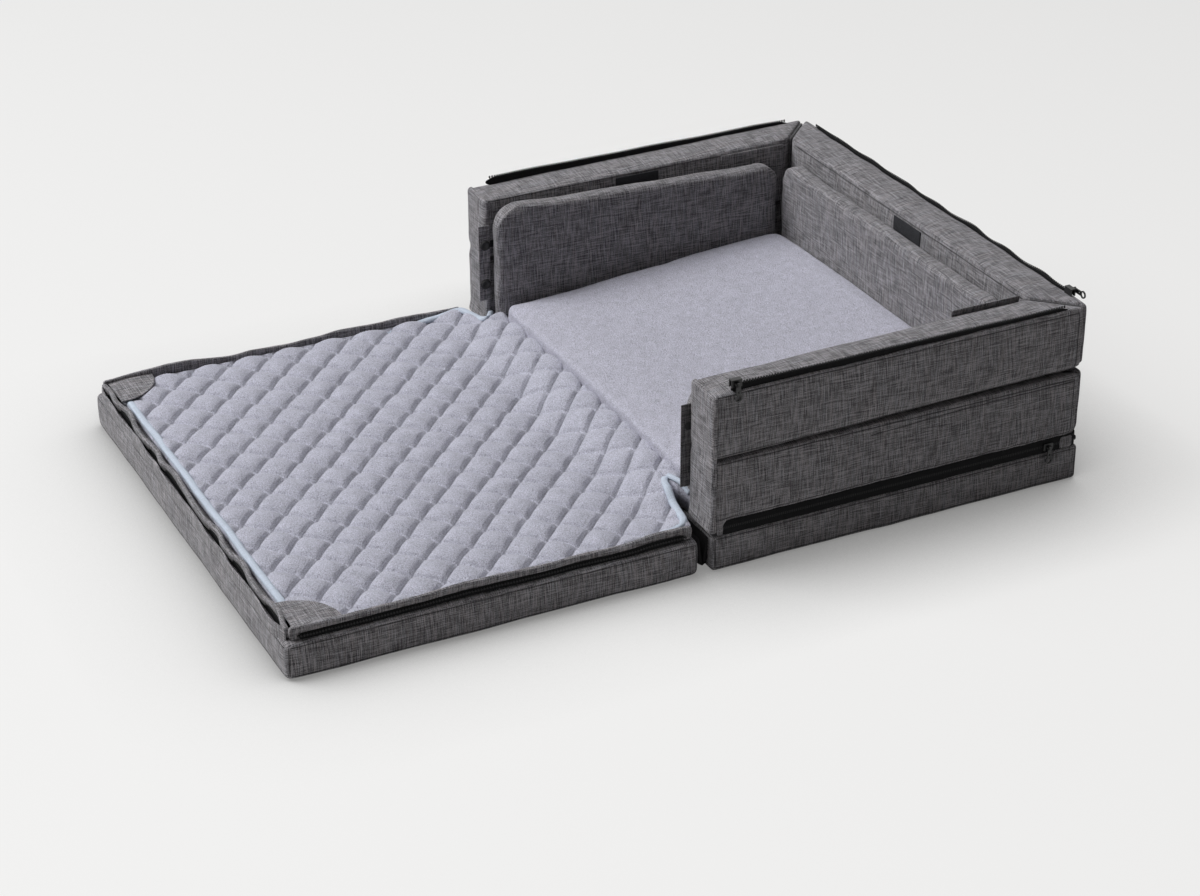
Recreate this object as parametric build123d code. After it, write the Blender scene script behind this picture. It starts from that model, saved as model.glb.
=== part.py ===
from build123d import *
import math
import os

# A folding sofa bed of cloth-covered foam blocks, opened on the floor. X runs along the fold
# between the two halves, Y from the front panel towards the back wall and Z up. The origin lies
# on the floor under the middle of that fold. All lengths are in millimetres.

# The two halves and the heights of their layers
bed_width = 600.0
block_length = 450.0
fold_gap = 12.0
base_height = 42.0
lower_wall_height = 85.5
layer_gap = 0.6
upper_wall_height = 76.5
wall_thickness = 49.0
cloth = 1.5
block_corner = 5.0
block_edge = 4.6
panel_corner = 9.0
mitre_gap = 1.4
overrun = 20.0
slip = 0.3

# The closed zip between the base and the lower wall, which lies in a step of the wall's foot
zip_step_height = 13.5
zip_step_depth = 3.4
tape_thickness = 1.2
teeth_width = 4.4
teeth_thickness = 1.6
base_zip_start = 18.0
base_zip_end_tab = 15.0

# The open zips that stand on the upper wall's rim
rim_inset = 4.9
rim_tape_height = 5.0
rim_teeth_size = 2.2
rim_zip_front = 20.0
rim_zip_back = 26.0
rim_back_zip_end = 30.0
rim_wave_height = 1.3
rim_wave_pitch = 62.0

# Zip sliders and their pulls
slider_length = 12.0
slider_cheek = 1.4
slider_roof = 1.1
slider_play = 0.5
rim_slider_place = 26.0
back_slider_place = 34.0
base_slider_place = 42.0
base_slider_width = 8.0
post_thickness = 1.4
bridge_bar_radius = 0.8
bridge_window = 3.4
knuckle_wall = 0.9
knuckle_play = 0.25
pull_thickness = 1.4
pull_neck_width = 5.0
pull_length = 19.0
pull_ring_radius = 4.2
pull_hole_radius = 2.8
pull_eye_radius = 1.2

# Seat pad, bumpers and the quilt under them
quilt_thickness = 9.0
quilt_side_gap = 1.1
quilt_end_gap = 5.0
bumper_thickness = 20.4
bumper_side_gap = 4.6
bumper_top = 200.0
bumper_clearance = 1.5
bumper_front = 10.5
bumper_crown = 3.0
bumper_draw = 1.5
bumper_edge = 6.0
bumper_front_corner = 48.0
bumper_back_corner = 24.0
bumper_foot_corner = 12.0
seat_front = 13.0
seat_front_height = 25.0
seat_back_height = 57.0
seat_crown = 5.0
seat_draw = 2.5
seat_edge = 8.0
seat_gap = 1.0

# The quilt's sewn diamonds, its binding and the slits at both ends of the fold
channel_pitch = 30.0
channel_width = 7.0
channel_depth = 2.6
binding_width = 6.0
binding_rise = 0.6
slit_reach = 18.0
slit_set_back = 13.0

# Lips, zips and corner pockets round the front panel's top
lip_height = 14.0
lip_thickness = 2.5
lip_inset = 8.1
lip_end_gap = 6.0
end_lip_gap = 6.0
inner_lip_drop = 0.6
end_lip_wave = 1.5
end_lip_wave_pitch = 75.0
panel_zip_height = 7.5
panel_teeth_size = 2.0
pocket_radius = 50.0
pocket_thickness = 1.3

# Snap tabs, hook patches, corner flaps, welts and hinge cloths
tab_width = 16.0
tab_thickness = 1.4
tab_low = 78.0
tab_high = 172.0
tab_fold_height = 125.0
tab_slit = 0.3
tongue_thickness = 0.6
snap_radius = 6.2
snap_dome = 1.5
snap_round_share = 0.6
snap_inset = 9.5
stud_radius = 4.0
stud_height = 1.0
lower_snap_height = 98.6
upper_snap_height = 147.5
patch_length = 56.0
patch_height = 33.0
patch_thickness = 1.0
patch_drop = 6.0
side_patch_place = 201.0
back_patch_place = 15.0
flap_length = 84.0
flap_height = 70.0
flap_thickness = 2.0
flap_drop = 2.0
welt_width = 2.2
welt_reach = 3.6
welt_end_gap = 3.0
spine_depth = 30.0
hinge_cloth_thickness = 1.0
hinge_cloth_reach = 16.0
fold_clearance = 0.8

# Places that follow from the sizes above
half_width = bed_width / 2
half_gap = fold_gap / 2
block_back = half_gap + block_length
wall_inner = half_width - wall_thickness
wall_inner_back = block_back - wall_thickness
lower_wall_top = base_height + lower_wall_height
upper_wall_low = lower_wall_top + layer_gap
upper_wall_top = upper_wall_low + upper_wall_height
rim_line = half_width - rim_inset
rim_teeth_low = upper_wall_top + rim_tape_height - rim_wave_height
rim_teeth_top = upper_wall_top + rim_tape_height + rim_teeth_size + rim_wave_height
slider_top = rim_teeth_top + slider_play + slider_roof
rim_slider_low = rim_teeth_low - slider_play - rim_wave_height
rim_slider_middle = (rim_slider_low + slider_top) / 2
lip_top = base_height + lip_height
fold_height = (slider_top + lip_top + fold_clearance) / 2
quilt_top = base_height + quilt_thickness
bumper_outer = wall_inner - bumper_side_gap
bumper_inner = bumper_outer - bumper_thickness
wall_sweep = math.hypot(wall_inner_back, fold_height - upper_wall_low)
bumper_reach = wall_sweep - bumper_clearance
back_bumper_back = math.sqrt(bumper_reach**2 - (bumper_top - fold_height) ** 2)
back_bumper_front = back_bumper_back - bumper_thickness
lip_line = half_width - lip_inset
side_lip_inner = lip_line - lip_thickness
end_lip_inner = -block_back + lip_inset + end_lip_gap
front_quilt_side = side_lip_inner - quilt_side_gap
front_quilt_end = end_lip_inner + quilt_end_gap
slit_tip = wall_inner - slit_reach
rim_bridge_reach = rim_inset + pull_thickness
knuckle_radius = bridge_bar_radius + knuckle_play + knuckle_wall
base_slider_face = half_width - zip_step_depth + tape_thickness + teeth_thickness + slip
base_bridge_reach = slider_cheek + knuckle_radius + knuckle_play

parts = {}


# Helpers


def plan(points, corner):
    """A flat face through the points, with all its corners rounded."""
    face = make_face(Polyline(*points, close=True))
    return fillet(face.vertices(), corner)


def slab(face, low, high):
    """The face's outline raised from one height to another."""
    return extrude(Pos(0, 0, low) * face, high - low)


def box_between(low, high):
    """A box between two opposite corners."""
    size = [b - a for a, b in zip(low, high)]
    return Pos(*low) * Box(*size, align=(Align.MIN, Align.MIN, Align.MIN))


def soft_block(face, low, high, edge):
    """A raised outline whose top and bottom edges are rounded over."""
    block = slab(face, low, high)
    levels = block.faces().sort_by(Axis.Z)
    return fillet(levels[0].edges() + levels[-1].edges(), edge)


def other_side(shape):
    """The same shape on the far side of the bed."""
    return mirror(shape, about=Plane.YZ)


def both_sides(*shapes):
    """The shapes and their mirror images as one piece's solids."""
    solids = []
    for shape in shapes:
        solids += [*shape.solids(), *other_side(shape).solids()]
    return solids


def add_covered_block(name, face, low, high, stepped=False):
    """A cloth cover and the foam block that fills it."""
    layers = []
    for inset in (0, cloth, cloth + slip):
        outline = offset(face, -inset) if inset else face
        layer = soft_block(outline, low + inset, high - inset, block_edge - inset)
        layers.append(layer - foot_step(inset) if stepped else layer)
    parts[name + "_cover"] = layers[0] - layers[1]
    parts[name + "_foam"] = layers[2]


# Foam blocks in their covers


def block_plan(near_y, far_y):
    """The outline of a full-width block."""
    corners = [(-half_width, near_y), (half_width, near_y), (half_width, far_y), (-half_width, far_y)]
    return plan(corners, panel_corner)


def side_wall_plan():
    """The near arm's outline, mitred where it meets the back wall."""
    return plan(
        [
            (wall_inner, half_gap),
            (half_width, half_gap),
            (half_width, block_back - mitre_gap),
            (wall_inner, wall_inner_back - mitre_gap),
        ],
        block_corner,
    )


def back_wall_plan():
    """The back wall's outline, mitred at both ends."""
    return plan(
        [
            (-half_width, block_back),
            (half_width, block_back),
            (wall_inner, wall_inner_back),
            (-wall_inner, wall_inner_back),
        ],
        block_corner,
    )


def zip_ring(outer_inset, inner_inset, low, high):
    """A strip that follows the sides and back of the rear block, between two insets."""
    sides = []
    for inset in (outer_inset, inner_inset):
        x = half_width - inset
        corners = [(-x, -overrun), (x, -overrun), (x, block_back - inset), (-x, block_back - inset)]
        sides.append(plan(corners, panel_corner - inset))
    return slab(sides[0] - sides[1], low, high)


def foot_step(extra):
    """What the zip's step takes from the lower walls, cut deeper by the extra depth."""
    depth = zip_step_depth + extra
    around = box_between(
        (-half_width - overrun, -overrun * 2, base_height - overrun),
        (half_width + overrun, block_back + overrun, base_height + zip_step_height + extra),
    )
    x = half_width - depth
    core = plan(
        [(-x, -overrun * 3), (x, -overrun * 3), (x, block_back - depth), (-x, block_back - depth)],
        panel_corner - zip_step_depth,
    )
    return around - slab(core, base_height - overrun * 2, lower_wall_top)


def make_blocks():
    """The base, the front panel and both layers of the wall."""
    add_covered_block("base", block_plan(half_gap, block_back), 0, base_height)
    add_covered_block("front_panel", block_plan(-block_back, -half_gap), 0, base_height)
    walls = {
        "near": side_wall_plan(),
        "back": back_wall_plan(),
        "far": other_side(side_wall_plan()),
    }
    for side, face in walls.items():
        add_covered_block(side + "_lower_wall", face, base_height, lower_wall_top, stepped=True)
        add_covered_block(side + "_upper_wall", face, upper_wall_low, upper_wall_top)


# The closed zip between base and lower wall


def make_base_zip():
    """The zip in the lower wall's foot, and the cloth tabs at its ends."""
    low = base_height
    high = base_height + zip_step_height
    front = base_zip_start
    keep = box_between((-bed_width, front, low), (bed_width, bed_width, high))
    tape = zip_ring(zip_step_depth - tape_thickness, zip_step_depth - slip, low, high) & keep
    parts["base_zip_tape"] = tape

    middle = (low + high) / 2
    teeth_low, teeth_high = middle - teeth_width / 2, middle + teeth_width / 2
    outer = zip_step_depth - tape_thickness - teeth_thickness
    side_end = block_back - panel_corner - base_zip_end_tab
    bar = box_between(
        (half_width - outer - teeth_thickness, front, teeth_low),
        (half_width - outer, side_end, teeth_high),
    )
    back_half = half_width - panel_corner
    back_bar = box_between(
        (-back_half, block_back - outer - teeth_thickness, teeth_low),
        (back_half, block_back - outer, teeth_high),
    )
    parts["base_zip_teeth"] = Compound([*both_sides(bar), *back_bar.solids()])

    inner_x = half_width - zip_step_depth + tape_thickness
    tabs = []
    for start, end, root in (
        (half_gap + block_corner, front, zip_step_depth),
        (side_end, block_back - panel_corner, zip_step_depth - tape_thickness),
    ):
        tab = box_between((half_width - root, start, low), (inner_x + cloth, end, high))
        tabs += both_sides(tab)
    parts["base_zip_end_tabs"] = Compound(tabs)


# Seat pad and bumpers


def seat_section(y, width, height, crown):
    """One upright slice of the seat pad, with a crowned top."""
    half = width / 2
    shoulder = height - crown
    outline = [
        Line((-half, 0), (half, 0)),
        Line((half, 0), (half, shoulder)),
        ThreePointArc((half, shoulder), (0, height), (-half, shoulder)),
        Line((-half, shoulder), (-half, 0)),
    ]
    slice_plane = Plane(origin=(0, y, quilt_top), x_dir=(1, 0, 0), z_dir=(0, -1, 0))
    return slice_plane * make_face(outline)


def seat_shape(inset):
    """The seat pad: thicker to the back, crowned, with its sides drawn in, shrunk by an inset."""
    front = seat_front + inset
    back = back_bumper_front - seat_gap - inset
    width = (bumper_inner - seat_gap - inset) * 2
    middle_height = (seat_front_height + seat_back_height) / 2 + seat_crown
    pad = loft(
        [
            seat_section(front, width, seat_front_height - inset, seat_crown),
            seat_section((front + back) / 2, width - seat_draw * 2, middle_height - inset, seat_crown),
            seat_section(back, width, seat_back_height - inset, seat_crown),
        ]
    )
    edges = pad.edges().filter_by(lambda e: e.center().Z > quilt_top + seat_edge)
    pad = fillet(edges, seat_edge - inset)
    floor = box_between((-bed_width, -bed_width, 0), (bed_width, bed_width, quilt_top + inset))
    return pad - floor


def bumper_outline(length, front_corner, back_corner, inset):
    """The board seen from the seat: bowed top, drawn-in ends, all corners rounded."""
    half = length / 2 - inset
    low, high = quilt_top + inset, bumper_top - inset
    shoulder = high - bumper_draw
    middle = (low + high) / 2
    waist = half - bumper_draw
    face = make_face(
        [
            Line((-half, low), (half, low)),
            ThreePointArc((half, low), (waist, middle), (half, shoulder)),
            ThreePointArc((half, shoulder), (0, high), (-half, shoulder)),
            ThreePointArc((-half, shoulder), (-waist, middle), (-half, low)),
        ]
    )
    face = fillet(face.vertices().group_by(Axis.Y)[0], bumper_foot_corner)
    for place, radius in ((0, front_corner), (-1, back_corner)):
        top = face.vertices().filter_by(lambda v: v.Y > shoulder - bumper_draw).sort_by(Axis.X)
        face = fillet(top[place], radius - inset)
    return face


def bumper_board(length, front_corner, back_corner, inset):
    """A padded board standing on its foot: X along it, Y through it and Z up, back at Y zero."""
    upright = Plane(origin=(0, 0, 0), x_dir=(1, 0, 0), z_dir=(0, -1, 0))
    face = upright * bumper_outline(length, front_corner, back_corner, inset)
    return Pos(0, inset, 0) * extrude(face, inset * 2 - bumper_thickness)


def crown_cut(board, length, inset):
    """The board with its seat side cut to a shallow crown."""
    half = length / 2
    face_y = bumper_thickness - inset
    belly = [
        Line((-half, 0), (half, 0)),
        Line((half, 0), (half, face_y - bumper_crown)),
        ThreePointArc((half, face_y - bumper_crown), (0, face_y), (-half, face_y - bumper_crown)),
        Line((-half, face_y - bumper_crown), (-half, 0)),
    ]
    return board & slab(make_face(belly), 0, bumper_top)


def bumper(length, front_corner, back_corner, inset):
    """A whole bumper, with the edges of both its faces rounded over."""
    board = crown_cut(bumper_board(length, front_corner, back_corner, inset), length, inset)
    faces = board.faces().sort_by(Axis.Y)
    return fillet(faces[0].edges() + faces[-1].edges(), bumper_edge - inset)


def make_pads():
    """The seat pad and the three bumpers round it."""
    parts["seat_pad_cover"] = seat_shape(0) - seat_shape(cloth)
    parts["seat_pad_foam"] = seat_shape(cloth + slip)

    side_length = back_bumper_front - seat_gap - bumper_front
    back_length = (bumper_inner - seat_gap) * 2
    side_place = Pos(-bumper_outer, bumper_front + side_length / 2, 0) * Rot(0, 0, -90)
    back_place = Pos(0, back_bumper_back, 0) * Rot(0, 0, 180)
    insets = (0, cloth, cloth + slip)
    sides = [bumper(side_length, bumper_front_corner, bumper_back_corner, inset) for inset in insets]
    backs = [bumper(back_length, bumper_back_corner, bumper_back_corner, inset) for inset in insets]
    for label, side, back in (
        ("cover", sides[0] - sides[1], backs[0] - backs[1]),
        ("foam", sides[2], backs[2]),
    ):
        far = side_place * mirror(side, Plane.YZ)
        parts["far_bumper_" + label] = far
        parts["near_bumper_" + label] = other_side(far)
        parts["back_bumper_" + label] = back_place * back


# The quilt


def channel_cutters(region):
    """Wedges along the diamond quilting's two sets of slanting lines, kept inside a region."""
    reach = bed_width + block_length
    half = channel_width / 2
    wedge = make_face(Polyline((-half, 0), (half, 0), (0, -channel_depth), close=True))
    profile = Plane(origin=(0, 0, quilt_top), x_dir=(0, 1, 0), z_dir=(1, 0, 0)) * wedge
    bar = extrude(profile, reach / 2, both=True)
    step = channel_pitch * math.sqrt(2)
    middle = -half_gap - block_length / 2
    count = int(reach / 2 / step)
    cutters = []
    for n in range(-count, count + 2):
        for turn in (45, -45):
            cut = Pos(0, middle + n * step, 0) * Rot(0, 0, turn) * bar & region
            if cut and cut.volume > 0:
                cutters += cut.solids()
    return cutters


def front_quilt_outline():
    """The outline of the quilt on the front panel, with the slits' rounded lips."""
    side = front_quilt_side
    return plan(
        [
            (-side, front_quilt_end),
            (side, front_quilt_end),
            (side, -slit_set_back),
            (slit_tip, -slip),
            (-slit_tip, -slip),
            (-side, -slit_set_back),
        ],
        binding_width / 2,
    )


def rear_quilt_outline():
    """The outline of the quilt between the walls, narrowed at the fold by the slits."""
    side = wall_inner - slip
    back = wall_inner_back - slip
    return plan(
        [
            (-slit_tip, slip),
            (slit_tip, slip),
            (side, slit_set_back),
            (side, back),
            (-side, back),
            (-side, slit_set_back),
        ],
        binding_width / 2,
    )


def make_front_quilt():
    """The quilt on the front panel, bound on all sides but the fold."""
    seam = slit_tip - binding_width
    high = quilt_top + binding_rise
    outline = front_quilt_outline()
    at_fold = box_between((-seam, -binding_width - overrun, 0), (seam, overrun, high))
    parts["quilt_binding"] = slab(outline - offset(outline, -binding_width), base_height, high) - at_fold

    body = slab(offset(outline, -binding_width - slip), base_height, quilt_top)
    to_fold = box_between((slip - seam, -overrun, base_height), (seam - slip, -slip, quilt_top))
    border = binding_width + channel_width
    side = front_quilt_side - border
    region = box_between((-side, front_quilt_end + border, base_height), (side, -overrun, quilt_top))
    parts["quilted_pad"] = body + to_fold - channel_cutters(region)


def make_rear_quilt():
    """The quilt's other end, which runs on under the seat pad."""
    seam = slit_tip - binding_width
    outline = rear_quilt_outline()
    ahead = box_between((-bed_width, -overrun, 0), (bed_width, bumper_front - slip, quilt_top))
    at_fold = box_between((slip - seam, -overrun, 0), (seam - slip, binding_width + overrun, quilt_top))
    ring = slab(outline - offset(outline, -binding_width), base_height, quilt_top)
    parts["rear_quilt_binding"] = (ring & ahead) - at_fold

    body = slab(offset(outline, -binding_width - slip), base_height, quilt_top)
    to_fold = box_between((slip - seam, slip, base_height), (seam - slip, seat_front, quilt_top))
    parts["rear_quilt"] = body + to_fold


# Lips, zips and pockets of the front panel


def wavy_strip(start, end, middle, thickness, wave, pitch, low, high):
    """A cloth strip along X that waves from side to side in shallow arcs."""
    count = max(2, round((end - start) / pitch) * 2)
    step = (end - start) / count
    lines = []
    for offset_y in (-thickness / 2, thickness / 2):
        y = middle + offset_y
        for n in range(count):
            x = start + n * step
            crest = y + (wave if n % 2 else -wave)
            lines.append(ThreePointArc((x, y), (x + step / 2, crest), (x + step, y)))
    for x in (start, end):
        lines.append(Line((x, middle - thickness / 2), (x, middle + thickness / 2)))
    return slab(make_face(lines), low, high)


def make_side_lips():
    """The cloth lips along both sides of the front panel and the zips on their outer faces."""
    start, end = -block_back + lip_inset, -half_gap - lip_end_gap
    lip = box_between((side_lip_inner, start, base_height), (lip_line, end, lip_top))
    parts["side_lips"] = Compound(both_sides(lip))

    start, end = start + panel_corner, end - panel_corner
    tape_face = lip_line + tape_thickness
    tape = box_between((lip_line, start, base_height), (tape_face, end, base_height + panel_zip_height))
    low = base_height + (panel_zip_height - panel_teeth_size) / 2
    teeth = box_between(
        (tape_face, start, low), (tape_face + panel_teeth_size, end, low + panel_teeth_size)
    )
    return both_sides(tape), both_sides(teeth)


def make_end_lips():
    """The two lips across the front panel's end, with a zip standing in the slot between them."""
    reach = side_lip_inner - slip
    inner_low, inner_high = end_lip_inner - lip_thickness, end_lip_inner
    outer_middle = end_lip_inner - end_lip_gap - lip_thickness / 2
    outer = wavy_strip(
        -reach, reach, outer_middle, lip_thickness, end_lip_wave, end_lip_wave_pitch, base_height, lip_top
    )
    inner = box_between(
        (-reach, inner_low, base_height), (reach, inner_high, lip_top - inner_lip_drop)
    )
    parts["end_lips"] = Compound([*outer.solids(), *inner.solids()])

    slot = end_lip_gap - lip_thickness - end_lip_wave
    middle = inner_low - slot / 2
    half_teeth = slot / 2 - slip
    end = reach - panel_corner
    high = base_height + panel_zip_height
    half_tape = tape_thickness / 2
    tape = box_between((-end, middle - half_tape, base_height), (end, middle + half_tape, high))
    teeth_high = high + panel_teeth_size
    teeth = box_between((-end, middle - half_teeth, high), (end, middle + half_teeth, teeth_high))
    return tape.solids(), teeth.solids()


def make_lips():
    side_tapes, side_teeth = make_side_lips()
    end_tape, end_teeth = make_end_lips()
    parts["panel_zip_tapes"] = Compound([*side_tapes, *end_tape])
    parts["panel_zip_teeth"] = Compound([*side_teeth, *end_teeth])

    low = quilt_top + binding_rise
    disc = Pos(side_lip_inner, end_lip_inner, low) * extrude(Circle(pocket_radius), pocket_thickness)
    quarter = box_between((0, end_lip_inner, 0), (side_lip_inner, 0, low + pocket_thickness))
    parts["corner_pockets"] = Compound(both_sides(disc & quarter))


# Zips, patches, flaps and welts on the upper wall


def rim_strip(reach, low, high, thickness):
    """An upright strip along X; each edge is given as its height and how far it waves."""
    start, end = reach
    count = max(2, round((end - start) / rim_wave_pitch) * 2)
    step = (end - start) / count
    lines = []
    for level, wave in (low, high):
        if wave:
            for n in range(count):
                x = start + n * step
                crest = level + (wave if n % 2 else -wave)
                lines.append(ThreePointArc((x, level), (x + step / 2, crest), (x + step, level)))
        else:
            lines.append(Line((start, level), (end, level)))
    for x in (start, end):
        lines.append(Line((x, low[0]), (x, high[0])))
    upright = Plane(origin=(0, thickness / 2, 0), x_dir=(1, 0, 0), z_dir=(0, -1, 0))
    return extrude(upright * make_face(lines), thickness)


def make_rim_zips():
    """The three open zips: straight along the arms, waving a little along the back."""
    tape_high = upper_wall_top + rim_tape_height
    teeth_high = tape_high + rim_teeth_size
    side_reach = (half_gap + rim_zip_front, block_back - rim_zip_back)
    back_end = half_width - rim_back_zip_end
    side_place = Pos(rim_line, 0, 0) * Rot(0, 0, 90)
    back_place = Pos(0, block_back - rim_inset, 0)
    strips = {}
    for side, place, reach, wave in (
        ("near", side_place, side_reach, 0),
        ("back", back_place, (-back_end, back_end), rim_wave_height),
    ):
        foot, middle, crest = (upper_wall_top, 0), (tape_high, wave), (teeth_high, wave)
        parts[side + "_rim_zip_tape"] = place * rim_strip(reach, foot, middle, tape_thickness)
        strips[side] = place * rim_strip(reach, middle, crest, rim_teeth_size)
    parts["far_rim_zip_tape"] = other_side(parts["near_rim_zip_tape"])
    parts["rim_zip_teeth"] = Compound([*both_sides(strips["near"]), *strips["back"].solids()])


def make_wall_trim():
    """The hook patches and corner flaps on the upper wall's inner faces."""
    top = upper_wall_top - patch_drop
    side_patch = box_between(
        (wall_inner - patch_thickness, side_patch_place - patch_length / 2, top - patch_height),
        (wall_inner, side_patch_place + patch_length / 2, top),
    )
    back_patch = box_between(
        (back_patch_place - patch_length / 2, wall_inner_back - patch_thickness, top - patch_height),
        (back_patch_place + patch_length / 2, wall_inner_back, top),
    )
    parts["hook_patches"] = Compound([*both_sides(side_patch), *back_patch.solids()])

    flap_end = wall_inner_back - block_corner * 2
    flap_top = upper_wall_top - block_edge - flap_drop
    flap = box_between(
        (wall_inner - flap_thickness, flap_end - flap_length, flap_top - flap_height),
        (wall_inner, flap_end, flap_top),
    )
    parts["corner_flaps"] = Compound(both_sides(flap))


def make_corner_welts():
    """The cloth edges that stand out at the back wall's outer corners, in both layers."""
    outer_x = half_width - block_corner * 3
    trim = welt_end_gap + block_edge
    for label, low, high in (
        ("lower", base_height + zip_step_height, lower_wall_top),
        ("upper", upper_wall_low, upper_wall_top),
    ):
        welt = box_between(
            (outer_x - welt_width, block_back, low + trim), (outer_x, block_back + welt_reach, high - trim)
        )
        parts[label + "_corner_welts"] = Compound(both_sides(welt))


# Snap tabs


def snap_cap(face_x, y, height):
    """A snap's round cap, domed towards the seat."""
    disc = Pos(face_x, y, height) * Rot(0, -90, 0) * extrude(Circle(snap_radius), snap_dome)
    rim = disc.faces().sort_by(Axis.X)[0].edges()
    return fillet(rim, snap_dome * snap_round_share)


def make_snap_tabs():
    """Both tabs: the sewn lower half, the half that peels open, their caps and the stud's tongue."""
    outer = wall_inner - stud_height - slip
    inner = outer - tab_thickness
    end = bumper_front - slip * 2
    start = end - tab_width
    snap_y = start + snap_inset
    split_low, split_high = tab_fold_height - tab_slit / 2, tab_fold_height + tab_slit / 2
    tongue_end = half_gap + block_corner + stud_radius
    tongue_face = wall_inner - tongue_thickness
    root = box_between((outer, start, tab_low), (wall_inner, end, tab_low + tab_width))
    root += box_between((tongue_face, end, tab_low), (wall_inner, tongue_end, tab_low + tab_width))
    anchor = root + box_between((inner, start, tab_low), (outer, end, split_low))
    tab = box_between((inner, start, split_high), (outer, end, tab_high))
    upper_cap = snap_cap(inner, snap_y, upper_snap_height)
    stud_place = Pos(wall_inner, snap_y, upper_snap_height) * Rot(0, -90, 0)
    stud = stud_place * extrude(Circle(stud_radius), stud_height)
    stud += box_between(
        (tongue_face, snap_y, upper_snap_height - stud_radius),
        (wall_inner, tongue_end, upper_snap_height + stud_radius),
    )
    parts["snap_tab_anchors"] = Compound(both_sides(anchor))
    parts["lower_snap_caps"] = Compound(both_sides(snap_cap(inner, snap_y, lower_snap_height)))
    parts["snap_studs"] = Compound(both_sides(stud))
    for side, place in (("near", lambda shape: shape), ("far", other_side)):
        parts[side + "_snap_tab"] = place(tab)
        parts[side + "_snap_cap"] = place(upper_cap)


# Sliders and pulls, built with X along the zip, Y away from the tape and Z up


def bridge(reach, upright):
    """Two posts and the bar between them that carries the pull; the bar lies along X or stands."""
    half = bridge_window / 2
    posts = []
    for sign in (-1, 1):
        post = box_between(
            (-post_thickness / 2, 0, -bridge_bar_radius),
            (post_thickness / 2, reach + bridge_bar_radius, bridge_bar_radius),
        )
        posts.append(Pos(sign * (half + post_thickness / 2), 0, 0) * post)
    bar = Pos(0, reach, 0) * Rot(0, 90, 0) * Cylinder(bridge_bar_radius, bridge_window + post_thickness)
    shape = posts[0] + posts[1] + bar
    return Rot(0, 90, 0) * shape if upright else shape


def pull_shape():
    """A flat pull hanging down from its knuckle, with a small eye and a round hole."""
    width = bridge_window - knuckle_play * 2
    knuckle = Rot(0, 90, 0) * Cylinder(knuckle_radius, width)
    ring_y = pull_ring_radius - pull_length
    neck_top = -knuckle_radius / 2
    neck = Pos(0, (ring_y + neck_top) / 2) * Rectangle(pull_neck_width, neck_top - ring_y)
    head = neck + Pos(0, ring_y) * Circle(pull_ring_radius)
    head -= Pos(0, ring_y) * Circle(pull_hole_radius)
    head -= Pos(0, ring_y + pull_ring_radius + pull_eye_radius * 2) * Circle(pull_eye_radius)
    upright = Plane(origin=(0, pull_thickness / 2, 0), x_dir=(1, 0, 0), z_dir=(0, -1, 0))
    plate = extrude(upright * head, pull_thickness)
    around = Rot(0, 90, 0) * Cylinder(knuckle_radius + knuckle_play, pull_neck_width * 2)
    shape = plate - (around - knuckle) + knuckle
    return shape - Rot(0, 90, 0) * Cylinder(bridge_bar_radius + knuckle_play, width * 2)


def rim_slider(upright):
    """A slider that straddles the standing teeth, with its bridge on the outer cheek."""
    gap = rim_teeth_size / 2 + slider_play
    half = slider_length / 2
    outer = gap + slider_cheek
    body = box_between((-half, -outer, rim_slider_low), (half, outer, slider_top))
    body -= box_between(
        (-half, -gap, rim_slider_low), (half, gap, rim_teeth_top + slider_play)
    )
    return body + Pos(0, outer, rim_slider_middle) * bridge(rim_bridge_reach - outer, upright)


def base_slider():
    """The closed zip's slider: its front plate with the bridge that carries the pull."""
    half = slider_length / 2
    tall = base_slider_width / 2
    plate = box_between((-half, 0, -tall), (half, slider_cheek, tall))
    plate = fillet(plate.edges().filter_by(Axis.Y), tall / 2)
    return plate + bridge(base_bridge_reach, False)


def make_sliders():
    """The three sliders in their places, each with its pull hung on its bridge."""
    bar = Pos(0, rim_bridge_reach, rim_slider_middle)
    place = Pos(rim_line, half_gap + rim_slider_place, 0) * Rot(0, 0, -90)
    parts["near_rim_slider"] = place * rim_slider(False)
    parts["near_rim_pull"] = place * bar * pull_shape()

    place = Pos(half_width - back_slider_place, block_back - rim_inset, 0)
    parts["back_rim_slider"] = place * rim_slider(True)
    parts["back_rim_pull"] = place * bar * Rot(0, -90, 0) * pull_shape()

    middle = base_height + zip_step_height / 2
    place = Pos(base_slider_face, block_back - base_slider_place, middle) * Rot(0, 0, -90)
    parts["base_zip_slider"] = place * base_slider()
    parts["base_zip_pull"] = place * Pos(0, base_bridge_reach, 0) * pull_shape()


# Cloth that crosses the folds


def spine_side(half, low, high):
    """One face of the spine strip's section, down one wall of the gap and up the other."""
    return [
        Line((-half, high), (-half, low)),
        ThreePointArc((-half, low), (0, low - half), (half, low)),
        Line((half, low), (half, high)),
    ]


def make_fold_cloths():
    """The spine strip that lines the gap between the halves and the arms' hinge cloths."""
    wall = half_gap - slip
    thickness = hinge_cloth_thickness
    high, low = base_height - block_edge, base_height - spine_depth
    section = spine_side(wall, low, high) + spine_side(wall - thickness, low, high)
    section += [Line((sign * wall, high), (sign * (wall - thickness), high)) for sign in (-1, 1)]
    profile = Plane(origin=(0, 0, 0), x_dir=(0, 1, 0), z_dir=(1, 0, 0)) * make_face(section)
    parts["spine_cloth"] = extrude(profile, half_width - panel_corner, both=True)

    joint = lower_wall_top + layer_gap / 2
    strip = box_between(
        (wall_inner + block_corner, half_gap - slip - thickness, joint - hinge_cloth_reach),
        (half_width - block_corner, half_gap - slip, joint + hinge_cloth_reach),
    )
    parts["wall_hinge_cloths"] = Compound(both_sides(strip))


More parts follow.
